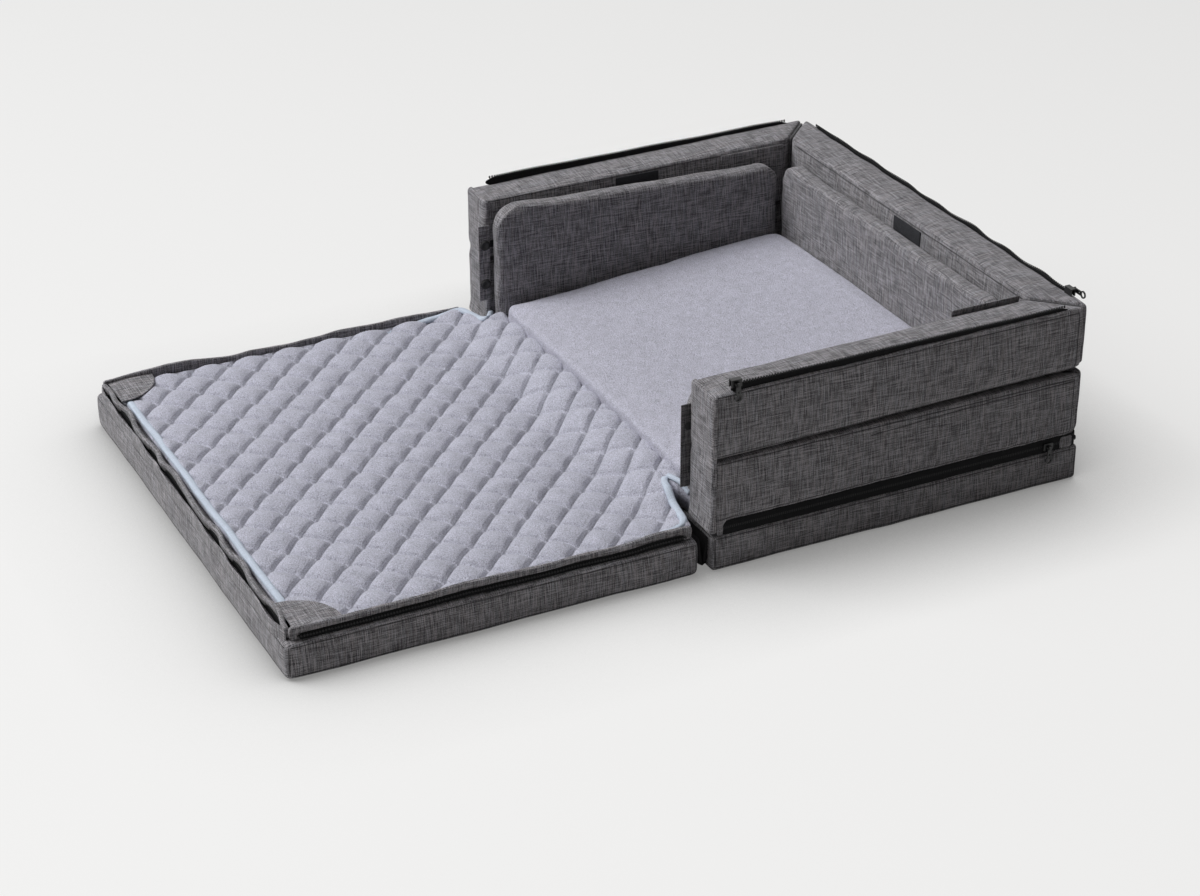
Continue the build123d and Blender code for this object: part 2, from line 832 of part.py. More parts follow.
make_blocks()
make_base_zip()
make_pads()
make_front_quilt()
make_rear_quilt()
make_lips()
make_rim_zips()
make_wall_trim()
make_corner_welts()
make_snap_tabs()
make_sliders()
make_fold_cloths()

os.makedirs("parts", exist_ok=True)
for node, shape in parts.items():
    export_step(shape, "parts/" + node + ".step")
print("nodes", len(parts))
print("fold axis height", round(fold_height, 3), "slider top", round(slider_top, 3))
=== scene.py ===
import math

import bmesh
import bpy
from mathutils import Matrix, Quaternion, Vector, noise
from mathutils.bvhtree import BVHTree


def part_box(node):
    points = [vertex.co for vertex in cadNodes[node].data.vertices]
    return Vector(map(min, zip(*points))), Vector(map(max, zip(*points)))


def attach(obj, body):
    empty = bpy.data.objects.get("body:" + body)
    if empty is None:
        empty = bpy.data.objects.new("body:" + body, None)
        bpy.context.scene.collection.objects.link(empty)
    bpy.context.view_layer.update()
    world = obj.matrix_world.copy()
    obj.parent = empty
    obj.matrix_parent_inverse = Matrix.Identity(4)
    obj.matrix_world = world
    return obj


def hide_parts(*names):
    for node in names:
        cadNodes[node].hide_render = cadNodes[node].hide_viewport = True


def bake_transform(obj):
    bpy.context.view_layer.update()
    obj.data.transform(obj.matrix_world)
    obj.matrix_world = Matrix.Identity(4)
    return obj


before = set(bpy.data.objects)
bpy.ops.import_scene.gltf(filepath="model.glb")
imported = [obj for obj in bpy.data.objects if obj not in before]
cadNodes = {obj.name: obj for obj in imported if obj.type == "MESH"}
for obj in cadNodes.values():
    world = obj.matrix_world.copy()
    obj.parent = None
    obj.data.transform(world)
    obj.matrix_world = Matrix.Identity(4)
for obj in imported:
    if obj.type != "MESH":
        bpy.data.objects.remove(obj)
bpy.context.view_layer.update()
scene = bpy.context.scene
mm = 0.001  # lengths below are in millimetres until a mesh is made
print("frame loaded:", len(cadNodes), "nodes")


knownBoxes = {}


def nodeBox(node):
    if node not in knownBoxes:
        low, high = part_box(node)
        knownBoxes[node] = (low / mm, high / mm)
    low, high = knownBoxes[node]
    return low.copy(), high.copy()


# camera, lamps and floor
shot = {
    "target": (6.0, 24.7, 0.0),
    "azimuth": 63.718,
    "elevation": 28.22,
    "roll": -0.197,
    "distance": 3082.4,
    "lens": 83.534,
    "sensor": 36.0,
}


def backFrom(azimuth, elevation):
    turn, rise = math.radians(azimuth), math.radians(elevation)
    flat = math.cos(rise)
    return Vector((math.sin(turn) * flat, -math.cos(turn) * flat, math.sin(rise)))


def makeCamera():
    data = bpy.data.cameras.new("photoCamera")
    data.lens = shot["lens"]
    data.sensor_width = shot["sensor"]
    data.clip_end = 60
    camera = bpy.data.objects.new("photoCamera", data)
    scene.collection.objects.link(camera)
    back = backFrom(shot["azimuth"], shot["elevation"])
    camera.location = (Vector(shot["target"]) + back * shot["distance"]) * mm
    camera.rotation_mode = "QUATERNION"
    roll = Quaternion((0, 0, 1), math.radians(shot["roll"]))
    camera.rotation_quaternion = (-back).to_track_quat("-Z", "Y") @ roll
    scene.camera = camera


lamps = {
    "windowLeft": {"elevation": 43, "distance": 6.0, "power": 330, "colour": (0.97, 0.985, 1.0)},
    "overhead": {"elevation": 84, "distance": 5.5, "power": 110, "colour": (0.97, 0.98, 1.0)},
}


eachLamp = {"azimuth": -30, "size": 3.4}


def makeLamps():
    centre = Vector((0, 0, 0.08))
    for name, lamp in lamps.items():
        data = bpy.data.lights.new(name, "AREA")
        data.shape = "SQUARE"
        data.size = eachLamp["size"]
        data.energy = lamp["power"]
        data.color = lamp["colour"]
        back = backFrom(eachLamp["azimuth"], lamp["elevation"])
        thing = bpy.data.objects.new(name, data)
        thing.location = centre + back * lamp["distance"]
        thing.rotation_euler = (-back).to_track_quat("-Z", "Y").to_euler()
        scene.collection.objects.link(thing)


# material tools
def link(tree, start, end):
    tree.links.new(start, end)


def addNode(tree, kind, inputs=None, **settings):
    node = tree.nodes.new(kind)
    for key, value in settings.items():
        setattr(node, key, value)
    for key, value in (inputs or {}).items():
        socket = node.inputs[key]
        if isinstance(value, bpy.types.NodeSocket):
            tree.links.new(value, socket)
        else:
            socket.default_value = value
    return node


def calc(tree, operation, *terms):
    node = tree.nodes.new("ShaderNodeMath")
    node.operation = operation
    for place, term in enumerate(terms):
        if isinstance(term, bpy.types.NodeSocket):
            tree.links.new(term, node.inputs[place])
        else:
            node.inputs[place].default_value = term
    return node.outputs[0]


def stretchRange(tree, value, low, high, outLow=0.0, outHigh=1.0):
    inputs = {"Value": value, "From Min": low, "From Max": high, "To Min": outLow, "To Max": outHigh}
    return addNode(tree, "ShaderNodeMapRange", inputs).outputs[0]


def streaks(tree, across, along, acrossSize, alongSize, shift=0.0, detail=2.0):
    first = calc(tree, "MULTIPLY_ADD", across, 1 / acrossSize, shift)
    sheared = calc(tree, "MULTIPLY", first, 0.37)  # so that neighbouring threads don't line up
    second = calc(tree, "MULTIPLY_ADD", along, 1 / alongSize, sheared)
    place = addNode(tree, "ShaderNodeCombineXYZ", {"X": first, "Y": second})
    inputs = {"Vector": place.outputs[0], "Scale": 1.0, "Detail": detail, "Roughness": 0.55}
    return addNode(tree, "ShaderNodeTexNoise", inputs, noise_dimensions="2D").outputs["Fac"]


def newGroup(name, inputs, outputs):
    group = bpy.data.node_groups.new(name, "ShaderNodeTree")
    for label, kind, value in inputs:
        socket = group.interface.new_socket(name=label, in_out="INPUT", socket_type=kind)
        if value is not None:
            socket.default_value = value
    for label in outputs:
        group.interface.new_socket(name=label, in_out="OUTPUT", socket_type="NodeSocketFloat")
    return group, group.nodes.new("NodeGroupInput"), group.nodes.new("NodeGroupOutput")


def makeClothPlaneGroup():
    # picks the two directions of the cloth from the way the surface faces, in millimetres
    group, start, end = newGroup(
        "clothPlane",
        [("Position", "NodeSocketVector", None), ("Facing", "NodeSocketVector", None)],
        ["Across", "Along"],
    )
    place = addNode(group, "ShaderNodeSeparateXYZ", {0: start.outputs["Position"]})
    facing = addNode(group, "ShaderNodeSeparateXYZ", {0: start.outputs["Facing"]})
    x, y, z = (calc(group, "MULTIPLY", place.outputs[n], 1000.0) for n in range(3))
    sideways, forward, upward = (calc(group, "ABSOLUTE", facing.outputs[n]) for n in range(3))
    top = calc(group, "GREATER_THAN", upward, calc(group, "MAXIMUM", sideways, forward))
    notTop = calc(group, "SUBTRACT", 1.0, top)
    side = calc(group, "MULTIPLY", calc(group, "GREATER_THAN", sideways, forward), notTop)
    across = calc(group, "MULTIPLY_ADD", calc(group, "SUBTRACT", y, x), side, x)
    along = calc(group, "MULTIPLY_ADD", calc(group, "SUBTRACT", y, z), top, z)
    link(group, across, end.inputs["Across"])
    link(group, along, end.inputs["Along"])
    return group


def makeWeaveGroup():
    # plain weave with slubs both ways
    group, start, end = newGroup(
        "slubWeave",
        [
            ("Across", "NodeSocketFloat", 0.0),
            ("Along", "NodeSocketFloat", 0.0),
            ("Pitch", "NodeSocketFloat", 0.9),
            ("Slub", "NodeSocketFloat", 1.0),
        ],
        ["Shade", "Tint", "Height"],
    )
    across, along = start.outputs["Across"], start.outputs["Along"]
    pitch = start.outputs["Pitch"]
    turns = [calc(group, "DIVIDE", calc(group, "MULTIPLY", way, math.pi), pitch) for way in (across, along)]
    waveAcross, waveAlong = (calc(group, "SINE", turn) for turn in turns)
    over = calc(group, "GREATER_THAN", calc(group, "MULTIPLY", waveAcross, waveAlong), 0.0)
    warp, weft = calc(group, "ABSOLUTE", waveAcross), calc(group, "ABSOLUTE", waveAlong)
    thread = calc(group, "MULTIPLY_ADD", calc(group, "SUBTRACT", warp, weft), over, weft)

    upright = streaks(group, across, along, 0.85, 20.0)
    level = streaks(group, along, across, 0.85, 24.0, 17.3)
    uprightWide = streaks(group, across, along, 2.4, 46.0, 31.0, 1.0)
    levelWide = streaks(group, along, across, 2.6, 50.0, 53.0, 1.0)
    uprightLine = stretchRange(group, streaks(group, across, along, 0.95, 32.0, 71.0, 1.0), 0.66, 0.74)
    levelLine = stretchRange(group, streaks(group, along, across, 0.95, 40.0, 91.0, 1.0), 0.65, 0.73)
    darkLine = stretchRange(group, streaks(group, across, along, 0.9, 26.0, 111.0, 1.0), 0.32, 0.25)
    patch = streaks(group, across, along, 30.0, 36.0, 5.0, 2.0)
    fleck = streaks(group, across, along, 0.7, 1.2, 9.0, 1.0)

    shade = 0.5
    for layer, middle, weight in (
        (upright, 0.5, 1.75),
        (level, 0.5, 1.5),
        (uprightWide, 0.5, 0.2),
        (levelWide, 0.5, 0.2),
        (fleck, 0.5, 0.8),
        (patch, 0.5, 0.1),
        (thread, 0.6, 0.2),
    ):
        shade = calc(group, "MULTIPLY_ADD", calc(group, "SUBTRACT", layer, middle), weight, shade)
    lines = calc(group, "SUBTRACT", calc(group, "ADD", uprightLine, levelLine), darkLine)
    lines = calc(group, "MULTIPLY", calc(group, "MULTIPLY", lines, 0.36), start.outputs["Slub"])
    link(group, calc(group, "ADD", shade, lines), end.inputs["Shade"])
    link(group, stretchRange(group, uprightWide, 0.3, 0.7), end.inputs["Tint"])
    height = calc(group, "MULTIPLY", thread, 0.55)
    height = calc(group, "MULTIPLY_ADD", calc(group, "ADD", uprightLine, levelLine), 0.35, height)
    height = calc(group, "MULTIPLY_ADD", calc(group, "ADD", upright, level), 0.6, height)
    link(group, height, end.inputs["Height"])
    return group


def makePileGroup():
    # short loops or brushed hairs, as grains with soft clumps
    group, start, end = newGroup(
        "softPile",
        [
            ("Position", "NodeSocketVector", None),
            ("Grain", "NodeSocketFloat", 1.6),
            ("Clump", "NodeSocketFloat", 14.0),
        ],
        ["Shade", "Height"],
    )
    inputs = {0: start.outputs["Position"], "Scale": 1000.0}
    place = addNode(group, "ShaderNodeVectorMath", inputs, operation="SCALE").outputs[0]
    cells = {"Vector": place, "Scale": calc(group, "DIVIDE", 1.0, start.outputs["Grain"])}
    fine = addNode(group, "ShaderNodeTexVoronoi", cells, feature="SMOOTH_F1").outputs["Distance"]
    grain = calc(group, "SUBTRACT", 0.75, fine)
    strands = {"Vector": place, "Scale": calc(group, "DIVIDE", 1.3, start.outputs["Grain"]), "Detail": 4.0}
    hairs = addNode(group, "ShaderNodeTexNoise", strands).outputs["Fac"]
    clumps = {"Vector": place, "Scale": calc(group, "DIVIDE", 1.0, start.outputs["Clump"]), "Detail": 2.0}
    clump = addNode(group, "ShaderNodeTexNoise", clumps).outputs["Fac"]
    shade = 0.5
    for layer, middle, weight in ((hairs, 0.5, 1.5), (grain, 0.3, 0.5), (clump, 0.5, 0.35)):
        shade = calc(group, "MULTIPLY_ADD", calc(group, "SUBTRACT", layer, middle), weight, shade)
    link(group, shade, end.inputs["Shade"])
    link(group, calc(group, "ADD", grain, hairs), end.inputs["Height"])
    return group


def makeStitchGroup():
    # the quilt's channels: a painted highlight line along one diagonal, a painted shade line along the
    # other, and soft painted shade either side of both
    group, start, end = newGroup("stitchTone", [("Stitch", "NodeSocketVector", None)], ["Tone"])
    parts = addNode(group, "ShaderNodeSeparateXYZ", {0: start.outputs["Stitch"]})
    paintedLines = []
    for part, line, gain in ((parts.outputs[0], 0.028, 0.22), (parts.outputs[1], 0.03, -0.24)):
        off = calc(group, "ABSOLUTE", calc(group, "SUBTRACT", part, calc(group, "ROUND", part)))
        thin = stretchRange(group, off, line * 2, line * 0.5)
        soft = stretchRange(group, off, 0.14, 0.0)
        paintedLines.append(calc(group, "MULTIPLY_ADD", thin, gain, calc(group, "MULTIPLY", soft, -0.08)))
    total = calc(group, "ADD", calc(group, "ADD", paintedLines[0], paintedLines[1]), 1.02)
    link(group, total, end.inputs["Tone"])
    return group


def newMaterial(name, **shader):
    material = bpy.data.materials.new(name)
    material.use_nodes = True
    tree = material.node_tree
    principled = tree.nodes["Principled BSDF"]
    for key, value in shader.items():
        principled.inputs[key.replace("_", " ")].default_value = value
    coordinates = tree.nodes.new("ShaderNodeTexCoord")
    return material, tree, principled, coordinates


def weaveOver(tree, place, coordinates, pitch, slub):
    # the woven cloth's shading, laid on the two directions of the surface
    plane = placeGroup(tree, clothPlane, {"Position": place, "Facing": coordinates.outputs["Normal"]})
    across, along = plane.outputs["Across"], plane.outputs["Along"]
    return placeGroup(tree, slubWeave, {"Across": across, "Along": along, "Pitch": pitch, "Slub": slub})


def shadeRange(colour, spread):
    # a colour's darker and lighter ends
    dark = tuple(c * (1 - spread) for c in colour)
    light = tuple(min(1.0, c * (1 + spread)) for c in colour)
    return dark, light


def multiplied(tree, first, second):
    inputs = {"Factor": 1.0, 6: first, 7: second}
    node = addNode(tree, "ShaderNodeMix", inputs, data_type="RGBA", blend_type="MULTIPLY")
    return node.outputs[2]


def addBump(tree, principled, height, distance, strength=1.0):
    inputs = {"Height": height, "Distance": distance * mm, "Strength": strength}
    bump = addNode(tree, "ShaderNodeBump", inputs)
    link(tree, bump.outputs["Normal"], principled.inputs["Normal"])


def addRamp(tree, value, stops):
    ramp = addNode(tree, "ShaderNodeValToRGB", {"Fac": value})
    points = ramp.color_ramp.elements
    while len(points) < len(stops):
        points.new(0.5)
    for point, (place, colour) in zip(points, stops):
        point.position = place
        point.color = (*colour, 1)
    return ramp.outputs["Color"]


def placeGroup(tree, group, inputs):
    node = tree.nodes.new("ShaderNodeGroup")
    node.node_tree = group
    for key, value in inputs.items():
        if isinstance(value, bpy.types.NodeSocket):
            tree.links.new(value, node.inputs[key])
        else:
            node.inputs[key].default_value = value
    return node


linen = {
    "dark": (0.040, 0.038, 0.041),
    "middle": (0.172, 0.168, 0.180),
    "light": (0.385, 0.38, 0.402),
    "warm": (1.0, 0.95, 0.92),
    "roughness": 0.92,
    "pitch": 0.9,
}


def makeLinen(name, gain=1.0, turned=False):
    material, tree, principled, coordinates = newMaterial(
        name, Roughness=linen["roughness"], Sheen_Weight=0.12, Sheen_Roughness=0.6, Specular_IOR_Level=0.25
    )
    place = coordinates.outputs["Object"]
    if turned:  # cloth cut on the bias
        turn = addNode(tree, "ShaderNodeMapping", {"Vector": place})
        turn.inputs["Rotation"].default_value = (0, math.radians(38), 0)
        place = turn.outputs[0]
    weave = weaveOver(tree, place, coordinates, linen["pitch"], 1.0)
    places = ((0.12, "dark"), (0.5, "middle"), (0.98, "light"))
    shades = [(n, tuple(c * gain for c in linen[key])) for n, key in places]
    colour = addRamp(tree, weave.outputs["Shade"], shades)
    warmth = {"Factor": weave.outputs["Tint"], 6: (1, 1, 1, 1), 7: (*linen["warm"], 1)}
    tint = addNode(tree, "ShaderNodeMix", warmth, data_type="RGBA").outputs[2]
    link(tree, multiplied(tree, colour, tint), principled.inputs["Base Color"])
    addBump(tree, principled, weave.outputs["Height"], 0.3, 0.5)
    return material


piles = {
    "terryCloth": {
        "colour": (0.455, 0.452, 0.522),
        "spread": 0.4,
        "grain": 1.4,
        "clump": 16.0,
        "bump": 1.1,
        "sheen": 0.2,
    },
    "fleeceCloth": {
        "colour": (0.455, 0.447, 0.517),
        "spread": 0.42,
        "grain": 1.3,
        "clump": 9.0,
        "bump": 1.0,
        "sheen": 0.2,
    },
    "hookCloth": {
        "colour": (0.028, 0.028, 0.032),
        "spread": 0.5,
        "grain": 0.9,
        "clump": 8.0,
        "bump": 0.4,
        "sheen": 0.05,
    },
}


def makePile(name):
    look = piles[name]
    material, tree, principled, coordinates = newMaterial(
        name, Roughness=0.95, Sheen_Weight=look["sheen"], Sheen_Roughness=0.45, Specular_IOR_Level=0.2
    )
    inputs = {"Position": coordinates.outputs["Object"], "Grain": look["grain"], "Clump": look["clump"]}
    pile = placeGroup(tree, softPile, inputs)
    dark, light = shadeRange(look["colour"], look["spread"])
    colour = addRamp(tree, pile.outputs["Shade"], [(0.15, dark), (0.5, look["colour"]), (0.85, light)])
    # the quilt's terry is multiplied by the stitch lines' painted highlight and painted shade
    if name == "terryCloth":
        stitch = addNode(tree, "ShaderNodeUVMap", uv_map="stitch")
        tone = placeGroup(tree, stitchTone, {"Stitch": stitch.outputs[0]}).outputs["Tone"]
        colour = multiplied(tree, colour, tone)
    link(tree, colour, principled.inputs["Base Color"])
    addBump(tree, principled, pile.outputs["Height"], look["bump"], 0.9)
    return material


tapes = {
    "bindingTape": {
        "colour": (0.50, 0.55, 0.63),
        "spread": 0.12,
        "rib": 0.7,
        "roughness": 0.6,
        "bump": 0.12,
    },
    "zipTape": {
        "colour": (0.0055, 0.0055, 0.006),
        "spread": 0.5,
        "rib": 0.8,
        "roughness": 0.9,
        "bump": 0.2,
    },
    "liningCloth": {
        "colour": (0.011, 0.0105, 0.011),
        "spread": 0.4,
        "rib": 0.6,
        "roughness": 0.95,
        "bump": 0.15,
    },
}


def makeTape(name):
    look = tapes[name]
    material, tree, principled, coordinates = newMaterial(
        name, Roughness=look["roughness"], Specular_IOR_Level=0.15
    )
    weave = weaveOver(tree, coordinates.outputs["Object"], coordinates, look["rib"], 0.2)
    dark, light = shadeRange(look["colour"], look["spread"])
    colour = addRamp(tree, weave.outputs["Shade"], [(0.1, dark), (0.9, light)])
    link(tree, colour, principled.inputs["Base Color"])
    addBump(tree, principled, weave.outputs["Height"], look["bump"], 0.8)
    return material


hardLooks = {
    "zipTeeth": {"colour": (0.006, 0.006, 0.0065), "roughness": 0.5, "wear": 0.1, "specular": 0.25},
    "sliderEnamel": {"colour": (0.007, 0.007, 0.0075), "roughness": 0.32, "wear": 0.25, "metallic": 0.2},
    "snapPlastic": {"colour": (0.006, 0.006, 0.0065), "roughness": 0.5, "wear": 0.1},
}


def makeHard(name):
    look = hardLooks[name]
    material, tree, principled, coordinates = newMaterial(
        name, Metallic=look.get("metallic", 0.0), Specular_IOR_Level=look.get("specular", 0.5)
    )
    speckle = {"Vector": coordinates.outputs["Object"], "Scale": 900.0, "Detail": 3.0}
    grain = addNode(tree, "ShaderNodeTexNoise", speckle)
    pointiness = addNode(tree, "ShaderNodeNewGeometry").outputs["Pointiness"]
    worn = calc(tree, "MULTIPLY", stretchRange(tree, pointiness, 0.52, 0.6), look["wear"])
    dark = look["colour"]
    light = tuple(c * 2 + 0.05 for c in dark)
    link(tree, addRamp(tree, worn, [(0.0, dark), (1.0, light)]), principled.inputs["Base Color"])
    smoothest, roughest = look["roughness"] * 0.8, look["roughness"] * 1.25
    rough = stretchRange(tree, grain.outputs["Fac"], 0.3, 0.7, smoothest, roughest)
    link(tree, rough, principled.inputs["Roughness"])
    addBump(tree, principled, grain.outputs["Fac"], 0.05, 0.5)
    return material


floorLook = {"colour": (0.66, 0.655, 0.647), "back": (0.80, 0.795, 0.78), "flat": 0.66}
# the floor's even tone: middle level, painted light falloff rightward and away from the camera, and painted
# contact shadow near the object
floorTone = {
    "middle": 0.975,
    "rightward": 0.012,
    "away": -0.04,
    "contact": 0.18,
    "contactStart": 0.5,
    "contactDark": 0.35,
}


def seenDirectly(tree):
    # the camera's own rays, and those that reach it by gloss or through clear material
    path = tree.nodes.new("ShaderNodeLightPath")
    share = calc(tree, "MAXIMUM", path.outputs["Is Camera Ray"], path.outputs["Is Glossy Ray"])
    return calc(tree, "MAXIMUM", share, path.outputs["Is Transmission Ray"])


def makeFloor():
    material, tree, principled, coordinates = newMaterial("paleFloor", Roughness=0.9, Specular_IOR_Level=0.1)
    cloudy = {"Vector": coordinates.outputs["Object"], "Scale": 1.5, "Detail": 3.0}
    mottle = addNode(tree, "ShaderNodeTexNoise", cloudy)
    pale = floorLook["colour"]
    stops = [(0.3, tuple(c * 0.995 for c in pale)), (0.7, pale)]
    link(tree, addRamp(tree, mottle.outputs["Fac"], stops), principled.inputs["Base Color"])

    # seen straight on, the floor keeps part of its own even tone under the lamps' light and shadow; that
    # even tone carries painted light falloff and painted contact shadow
    place = addNode(tree, "ShaderNodeSeparateXYZ", {0: coordinates.outputs["Object"]})
    turn = math.radians(shot["azimuth"])
    x, y = place.outputs[0], place.outputs[1]
    # painted light falloff: brighter to the right and darker away from the camera
    rightward = calc(tree, "MULTIPLY", x, math.cos(turn) * floorTone["rightward"])
    rightward = calc(tree, "MULTIPLY_ADD", y, math.sin(turn) * floorTone["rightward"], rightward)
    away = calc(tree, "MULTIPLY", x, -math.sin(turn) * floorTone["away"])
    away = calc(tree, "MULTIPLY_ADD", y, math.cos(turn) * floorTone["away"], away)
    tone = calc(tree, "ADD", calc(tree, "ADD", rightward, away), floorTone["middle"])
    # painted contact shadow: the even tone darkens where the object is near
    contact = addNode(tree, "ShaderNodeAmbientOcclusion", {"Distance": floorTone["contact"]}, samples=8)
    start, darkest = floorTone["contactStart"], floorTone["contactDark"]
    dark = stretchRange(tree, contact.outputs["AO"], start, 1.0, darkest, 1.0)
    tone = calc(tree, "MULTIPLY", tone, dark)
    even = addNode(tree, "ShaderNodeEmission", {"Color": (1, 0.995, 0.985, 1), "Strength": tone})
    share = calc(tree, "MULTIPLY", seenDirectly(tree), floorLook["flat"])
    both = addNode(tree, "ShaderNodeMixShader", {0: share, 1: principled.outputs[0], 2: even.outputs[0]})
    link(tree, both.outputs[0], tree.nodes["Material Output"].inputs["Surface"])

    bm = bmesh.new()
    bmesh.ops.create_grid(bm, x_segments=4, y_segments=4, size=9)
    mesh = bpy.data.meshes.new("floor")
    bm.to_mesh(mesh)
    bm.free()
    floor = bpy.data.objects.new("floor", mesh)
    mesh.materials.append(material)
    scene.collection.objects.link(floor)


def makeWorld():
    world = bpy.data.worlds.new("paleRoom")
    scene.world = world
    world.use_nodes = True
    tree = world.node_tree
    ground = tree.nodes["Background"]
    ground.inputs["Color"].default_value = (1.0, 0.97, 0.95, 1)
    ground.inputs["Strength"].default_value = 0.09
    seen = addNode(tree, "ShaderNodeBackground", {"Color": (*floorLook["back"], 1), "Strength": 1.0})
    inputs = {0: seenDirectly(tree), 1: ground.outputs[0], 2: seen.outputs[0]}
    both = addNode(tree, "ShaderNodeMixShader", inputs)
    link(tree, both.outputs[0], tree.nodes["World Output"].inputs["Surface"])


makeCamera()
makeLamps()
makeFloor()
makeWorld()
clothPlane = makeClothPlaneGroup()
slubWeave = makeWeaveGroup()
softPile = makePileGroup()
stitchTone = makeStitchGroup()
cloths = {
    "linen": makeLinen("slubLinen"),
    "bias": makeLinen("slubLinenBias", turned=True),
    # a darker copy of the linen: painted shade on the seam lines and in the mitre folds
    "paintedShadeLinen": makeLinen("slubLinenPaintedShade", 0.3),
    # a darker copy of the linen: painted shade on the near snap tab
    "tabLinen": makeLinen("slubLinenShade", 0.5),
}
cloths.update({name: makePile(name) for name in piles})
cloths.update({name: makeTape(name) for name in tapes})
cloths.update({name: makeHard(name) for name in hardLooks})
print("materials made:", len(bpy.data.materials))


# mesh tools
def makeObject(bm, name, look, smooth=True):
    bmesh.ops.remove_doubles(bm, verts=bm.verts, dist=0.00001 / mm)
    bmesh.ops.recalc_face_normals(bm, faces=bm.faces)
    bmesh.ops.scale(bm, vec=(mm, mm, mm), verts=bm.verts)
    mesh = bpy.data.meshes.new(name)
    bm.to_mesh(mesh)
    bm.free()
    if smooth:
        mesh.shade_smooth()
    mesh.materials.append(cloths[look])
    thing = bpy.data.objects.new(name, mesh)
    scene.collection.objects.link(thing)
    return thing


def settle(thing, body, slot, *nodes):
    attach(thing, body)
    if nodes:
        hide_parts(*nodes)


def spacing(size, radius, cell):
    # places along one side of a block, closer together over its rounded edges
    inner = size - radius * 2
    steps = max(1, round(inner / cell))
    start = [0, radius * 0.2, radius * 0.5]
    flat = [radius + inner * n / steps for n in range(steps + 1)]
    return start + flat + [size - s for s in reversed(start)]


def gridBlock(size, radius, cell):
    tables = [spacing(side, radius, cell) for side in size]
    bm = bmesh.new()
    bmesh.ops.create_cube(bm, size=1)
    for axis, table in enumerate(tables):
        along = [e for e in bm.edges if abs(e.verts[0].co[axis] - e.verts[1].co[axis]) > 0.5]
        bmesh.ops.subdivide_edges(bm, edges=along, cuts=len(table) - 2, use_grid_fill=True)
    for vert in bm.verts:
        steps = [round((share + 0.5) * (len(table) - 1)) for share, table in zip(vert.co, tables)]
        place = Vector(table[step] for table, step in zip(tables, steps))
        core = Vector(min(max(p, radius), s - radius) for p, s in zip(place, size))
        away = place - core
        vert.co = core + away.normalized() * radius if away.length > 0 else core
    return bm


def onSeam(place, size, radius):
    # true along the rounded edges of a block, where its cloth panels are sewn together
    near = [p < radius * 1.05 or p > s - radius * 1.05 for p, s in zip(place, size)]
    return sum(near) >= 2


def waviness(place, scale, seed):
    return noise.noise(Vector(place) / scale + Vector((seed * 7.3, seed * 3.1, seed * 5.7)))


coverCloth = {
    "quality": 5,
    "mass": 0.25,
    "tension_stiffness": 18,
    "compression_stiffness": 12,
    "bending_stiffness": 0.6,
    "use_pressure": True,
    "vertex_group_mass": "seam",
}


def airUp(jobs, frames=20):
    # blows every covered block up a little at once, with its seams held
    for thing, soft in jobs:
        cloth = thing.modifiers.new("air", "CLOTH")
        for key, value in coverCloth.items():
            setattr(cloth.settings, key, value)
        cloth.settings.uniform_pressure_force = soft["pressure"]
        cloth.settings.shrink_min = -soft["spare"]
        cloth.settings.effector_weights.gravity = 0
        cloth.point_cache.frame_start = 1
        cloth.point_cache.frame_end = frames
    for number in range(1, frames + 1):
        scene.frame_set(number)
    graph = bpy.context.evaluated_depsgraph_get()
    for thing, soft in jobs:
        result = thing.evaluated_get(graph).data
        cap = soft["cap"] * mm
        moved = [v.co.copy() for v in result.vertices]
        thing.modifiers.clear()
        for vert, place in zip(thing.data.vertices, moved):
            step = place - vert.co
            if step.length > 1e-7:
                vert.co += step.normalized() * cap * math.tanh(step.length / cap)
    scene.frame_set(1)
    print("cloth settled:", len(jobs), "pieces")


def pinSeams(thing, size, radius, low, hold=(), free=None):
    group = thing.vertex_groups.new(name="seam")
    for vert in thing.data.vertices:
        place = vert.co / mm - Vector(low)
        sewn = onSeam(place, size, radius) and not (free and free(place))
        if sewn or any(test(place) for test in hold):
            group.add([vert.index], 1.0, "REPLACE")


def ruffle(thing, amount, scale, seed):
    # pushes the cloth in and out by up to about this amount, in waves of this scale
    normals = [v.normal.copy() for v in thing.data.vertices]
    for vert, normal in zip(thing.data.vertices, normals):
        place = vert.co / mm
        push = waviness(place, scale, seed) * amount
        push += waviness(place, scale * 0.33, seed + 1) * amount * 0.35
        vert.co += normal * push * mm


def keepInside(thing, low, high):
    for vert in thing.data.vertices:
        vert.co = Vector(min(max(c, a * mm), b * mm) for c, a, b in zip(vert.co, low, high))


def divide(thing):
    mod = thing.modifiers.new("smoother", "SUBSURF")
    mod.levels = 1
    mod.render_levels = 1


def makeCloth(bm, name, look, body, slot, *nodes):
    # a finished cloth piece, smoothed once
    thing = makeObject(bm, name, look)
    divide(thing)
    settle(thing, body, slot, *nodes)
    return thing


def addInto(bm, part):
    # adds a finished part's mesh to the one being built
    mesh = bpy.data.meshes.new("part")
    part.to_mesh(mesh)
    part.free()
    bm.from_mesh(mesh)
    bpy.data.meshes.remove(mesh)


def sweep(bm, outline, stops):
    # carries a closed outline of (side, up) points along stops of (place, side, up)
    ring = bmesh.ops.create_circle(bm, segments=len(outline), radius=1)["verts"]
    first = ring
    for number, (place, side, up) in enumerate(stops):
        if number:
            members = set(ring)
            touching = {e for vert in ring for e in vert.link_edges}
            edges = [e for e in touching if e.verts[0] in members and e.verts[1] in members]
            made = bmesh.ops.extrude_edge_only(bm, edges=edges)["geom"]
            fresh = {v for v in made if isinstance(v, bmesh.types.BMVert)}
            ring = [next(e.other_vert(v) for e in v.link_edges if e.other_vert(v) in fresh) for v in ring]
        for vert, (across, rise) in zip(ring, outline):
            vert.co = place + side * across + up * rise
    for end in (first, ring):
        bmesh.ops.contextual_create(bm, geom=end)
    return bm


